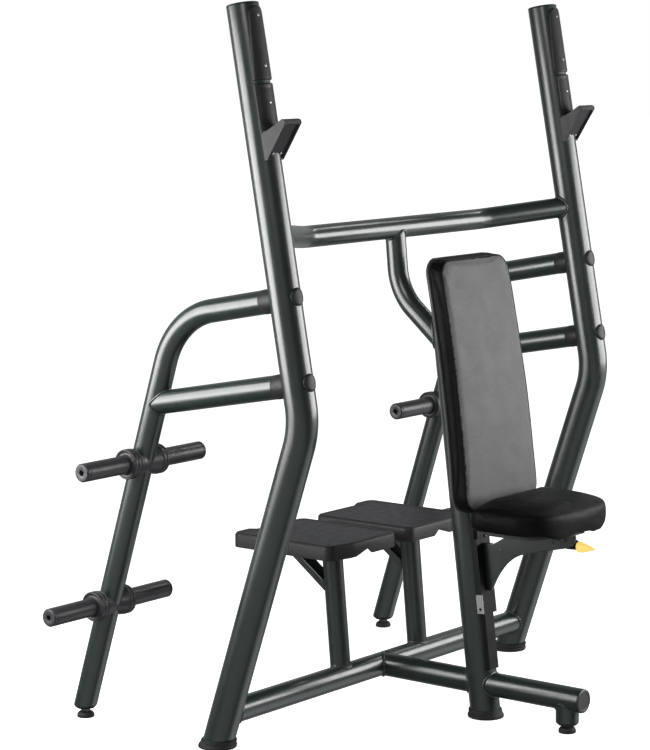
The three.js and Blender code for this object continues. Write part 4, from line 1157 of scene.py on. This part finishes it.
def lock_pin():
    up, out = column_frame(0, 0, 1) - column_frame(0, 0, 0), column_frame(1, 0, 0) - column_frame(0, 0, 0)
    arm = LEVER_PIVOT - UP * LOCK_PIN_DROP - COLUMN_FOOT
    reach = arm.dot(out) - 0.008
    profile = [(0, 0.0389), (0.0042, 0.0389), (0.005, 0.0405), (0.005, 0.053), (0.0075, 0.053),
               (0.0075, 0.066), (0.003, 0.066), (0.003, reach), (0, reach)]
    turned("lock_pin_rod", rounded(profile, 0.0008), column_frame(0, LOCK_PIN_X, arm.dot(up)), out, ZINC,
           body="lock_pin", replaces="lock_pin")


def carried_over():
    """CAD pieces whose shape is right keep it, with rounded edges and their own finish."""
    looks = {"seat_rail": (RAIL, 0.0012), "seat_carriage": (RAIL, 0.0006),
             "carriage_guide_plate": (ZINC, 0.0004), "backrest_mount": (PAINT, 0.0012)}
    for name, (material, width) in looks.items():
        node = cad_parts[name]
        node.data.materials.clear()
        node.data.materials.append(material)
        softened(node, width, 2)


# ---- stage
FOCUS = vec(0, 0, 0.85)
PALE_WALL = (0.77, 0.63, 0.05)  # the way to the room's pale wall; the room darkens away from it
PALE_GROUND = (-0.7, -0.35, -0.62)  # the way to the pale ground on the user's side
BRIGHT_GROUND = (0.64, -0.55, -0.53)  # the way to the ground the right-hand light falls on
ROOM_STRENGTH = 0.08
WALLS = [  # way, the cosines from it between which the glow rises, strength
    (PALE_WALL, 0.3, 1.0, 0.32), (PALE_GROUND, 0.5, 0.95, 0.4), (BRIGHT_GROUND, 0.82, 1.0, 0.9)]
FLOOR_GLOW, FLOOR_HALF = 0.78, 40
SOFTBOXES = [  # name, place, size, power
    ("left_box", (-1.55, 0.9, 1.2), (1.2, 1.1), 31),
    ("left_fill", (-2.8, 2.0, 0.65), (2.8, 1.3), 29),
    ("key_box", (-3.6, -2.2, 3.4), (1.6, 1.6), 40),
    ("right_box", (1.87, -2.11, 1.25), (2.9, 1.4), 90),
    ("high_box", (3.2, -0.3, 3.4), (0.5, 0.9), 14),
]
VIEW_YAW, VIEW_PITCH, VIEW_ROLL = 0.6794, 0.1207, -0.0067
VIEW_PLACE = (-5.038, -3.807, 1.692)


def camera():
    data = bpy.data.cameras.new("camera")
    data.sensor_width = 36
    data.lens = 120.8
    data.shift_x, data.shift_y = 0.0018, -0.0431
    data.clip_end = 100
    obj = linked("camera", data)
    level = cos(VIEW_PITCH)
    forward = vec(cos(VIEW_YAW) * level, sin(VIEW_YAW) * level, -sin(VIEW_PITCH))
    roll = Matrix.Rotation(VIEW_ROLL, 4, "Z").to_quaternion()
    obj.rotation_mode = "QUATERNION"
    obj.rotation_quaternion = forward.to_track_quat("-Z", "Y") @ roll
    obj.location = VIEW_PLACE
    bpy.context.scene.camera = obj


def softbox(name, place, size, power):
    """A rectangular light that faces the bench and stays out of the picture."""
    data = bpy.data.lights.new(name, "AREA")
    data.shape = "RECTANGLE"
    data.size, data.size_y = size
    data.energy = power
    obj = linked(name, data)
    obj.visible_camera = False
    obj.rotation_mode = "QUATERNION"
    obj.location = place
    obj.rotation_quaternion = (FOCUS - obj.location).to_track_quat("-Z", "Y")


def studio():
    """A room with a few glowing sides; the camera sees plain white in its place."""
    world = bpy.data.worlds.new("studio")
    bpy.context.scene.world = world
    world.use_nodes = True
    n = Nodes(world.node_tree)
    way = n.add("TexCoord", {}).outputs["Generated"]
    total = ROOM_STRENGTH
    for direction, low, high, strength in WALLS:
        facing = n.add("VectorMath", {0: way, 1: direction}, operation="DOT_PRODUCT").outputs["Value"]
        inputs = {"Value": facing, "From Min": low, "From Max": high, "To Min": 0, "To Max": strength}
        glow = n.add("MapRange", inputs, interpolation_type="SMOOTHSTEP").outputs["Result"]
        total = n.add("Math", {0: glow, 1: total}).outputs[0]
    room = n.tree.nodes["Background"]
    n.plug(room, {"Color": (0.95, 0.98, 1, 1), "Strength": total})
    backdrop = n.add("Background", {"Color": (1, 1, 1, 1)})
    seen = n.add("LightPath", {}).outputs["Is Camera Ray"]
    mix = n.add("MixShader", {0: seen, 1: room.outputs[0], 2: backdrop.outputs[0]})
    n.plug(n.tree.nodes["World Output"], {"Surface": mix.outputs[0]})
    for box in SOFTBOXES:
        softbox(*box)
    floor()
    bpy.context.scene.view_settings.view_transform = "Standard"


def floor():
    """A white floor that brightens into the backdrop away from the bench."""
    n = Finish("pale_floor")
    speckle = n.noise(60, 3)
    reach = n.add("VectorMath", {0: n.coordinates}, operation="LENGTH").outputs["Value"]
    n.finish(n.blend(speckle, (0.86, 0.86, 0.86), (0.9, 0.9, 0.9)), n.spread(speckle, 0.6, 0.7),
             Emission_Color=(1, 1, 1, 1), Emission_Strength=n.spread(reach, FLOOR_GLOW, 1.02, 1.0, 2.6))
    mesh = bpy.data.meshes.new("floor")
    far = FLOOR_HALF
    mesh.from_pydata([(-far, -far, 0), (far, -far, 0), (far, far, 0), (-far, far, 0)], [], [(0, 1, 2, 3)])
    mesh.materials.append(n.material)
    obj = linked("floor", mesh)
    obj.visible_glossy = False
    obj.visible_diffuse = False


camera()
studio()
for side_label, side_sign in SIDES.items():
    rack_side(side_label, side_sign * UPRIGHT_X)
    foot_step(side_label, side_sign)
    step_post(side_label, side_sign * POST_X)
middle_tubes()
backrest()
seat()
seat_bracket()
release_lever()
lock_pin()
carried_over()
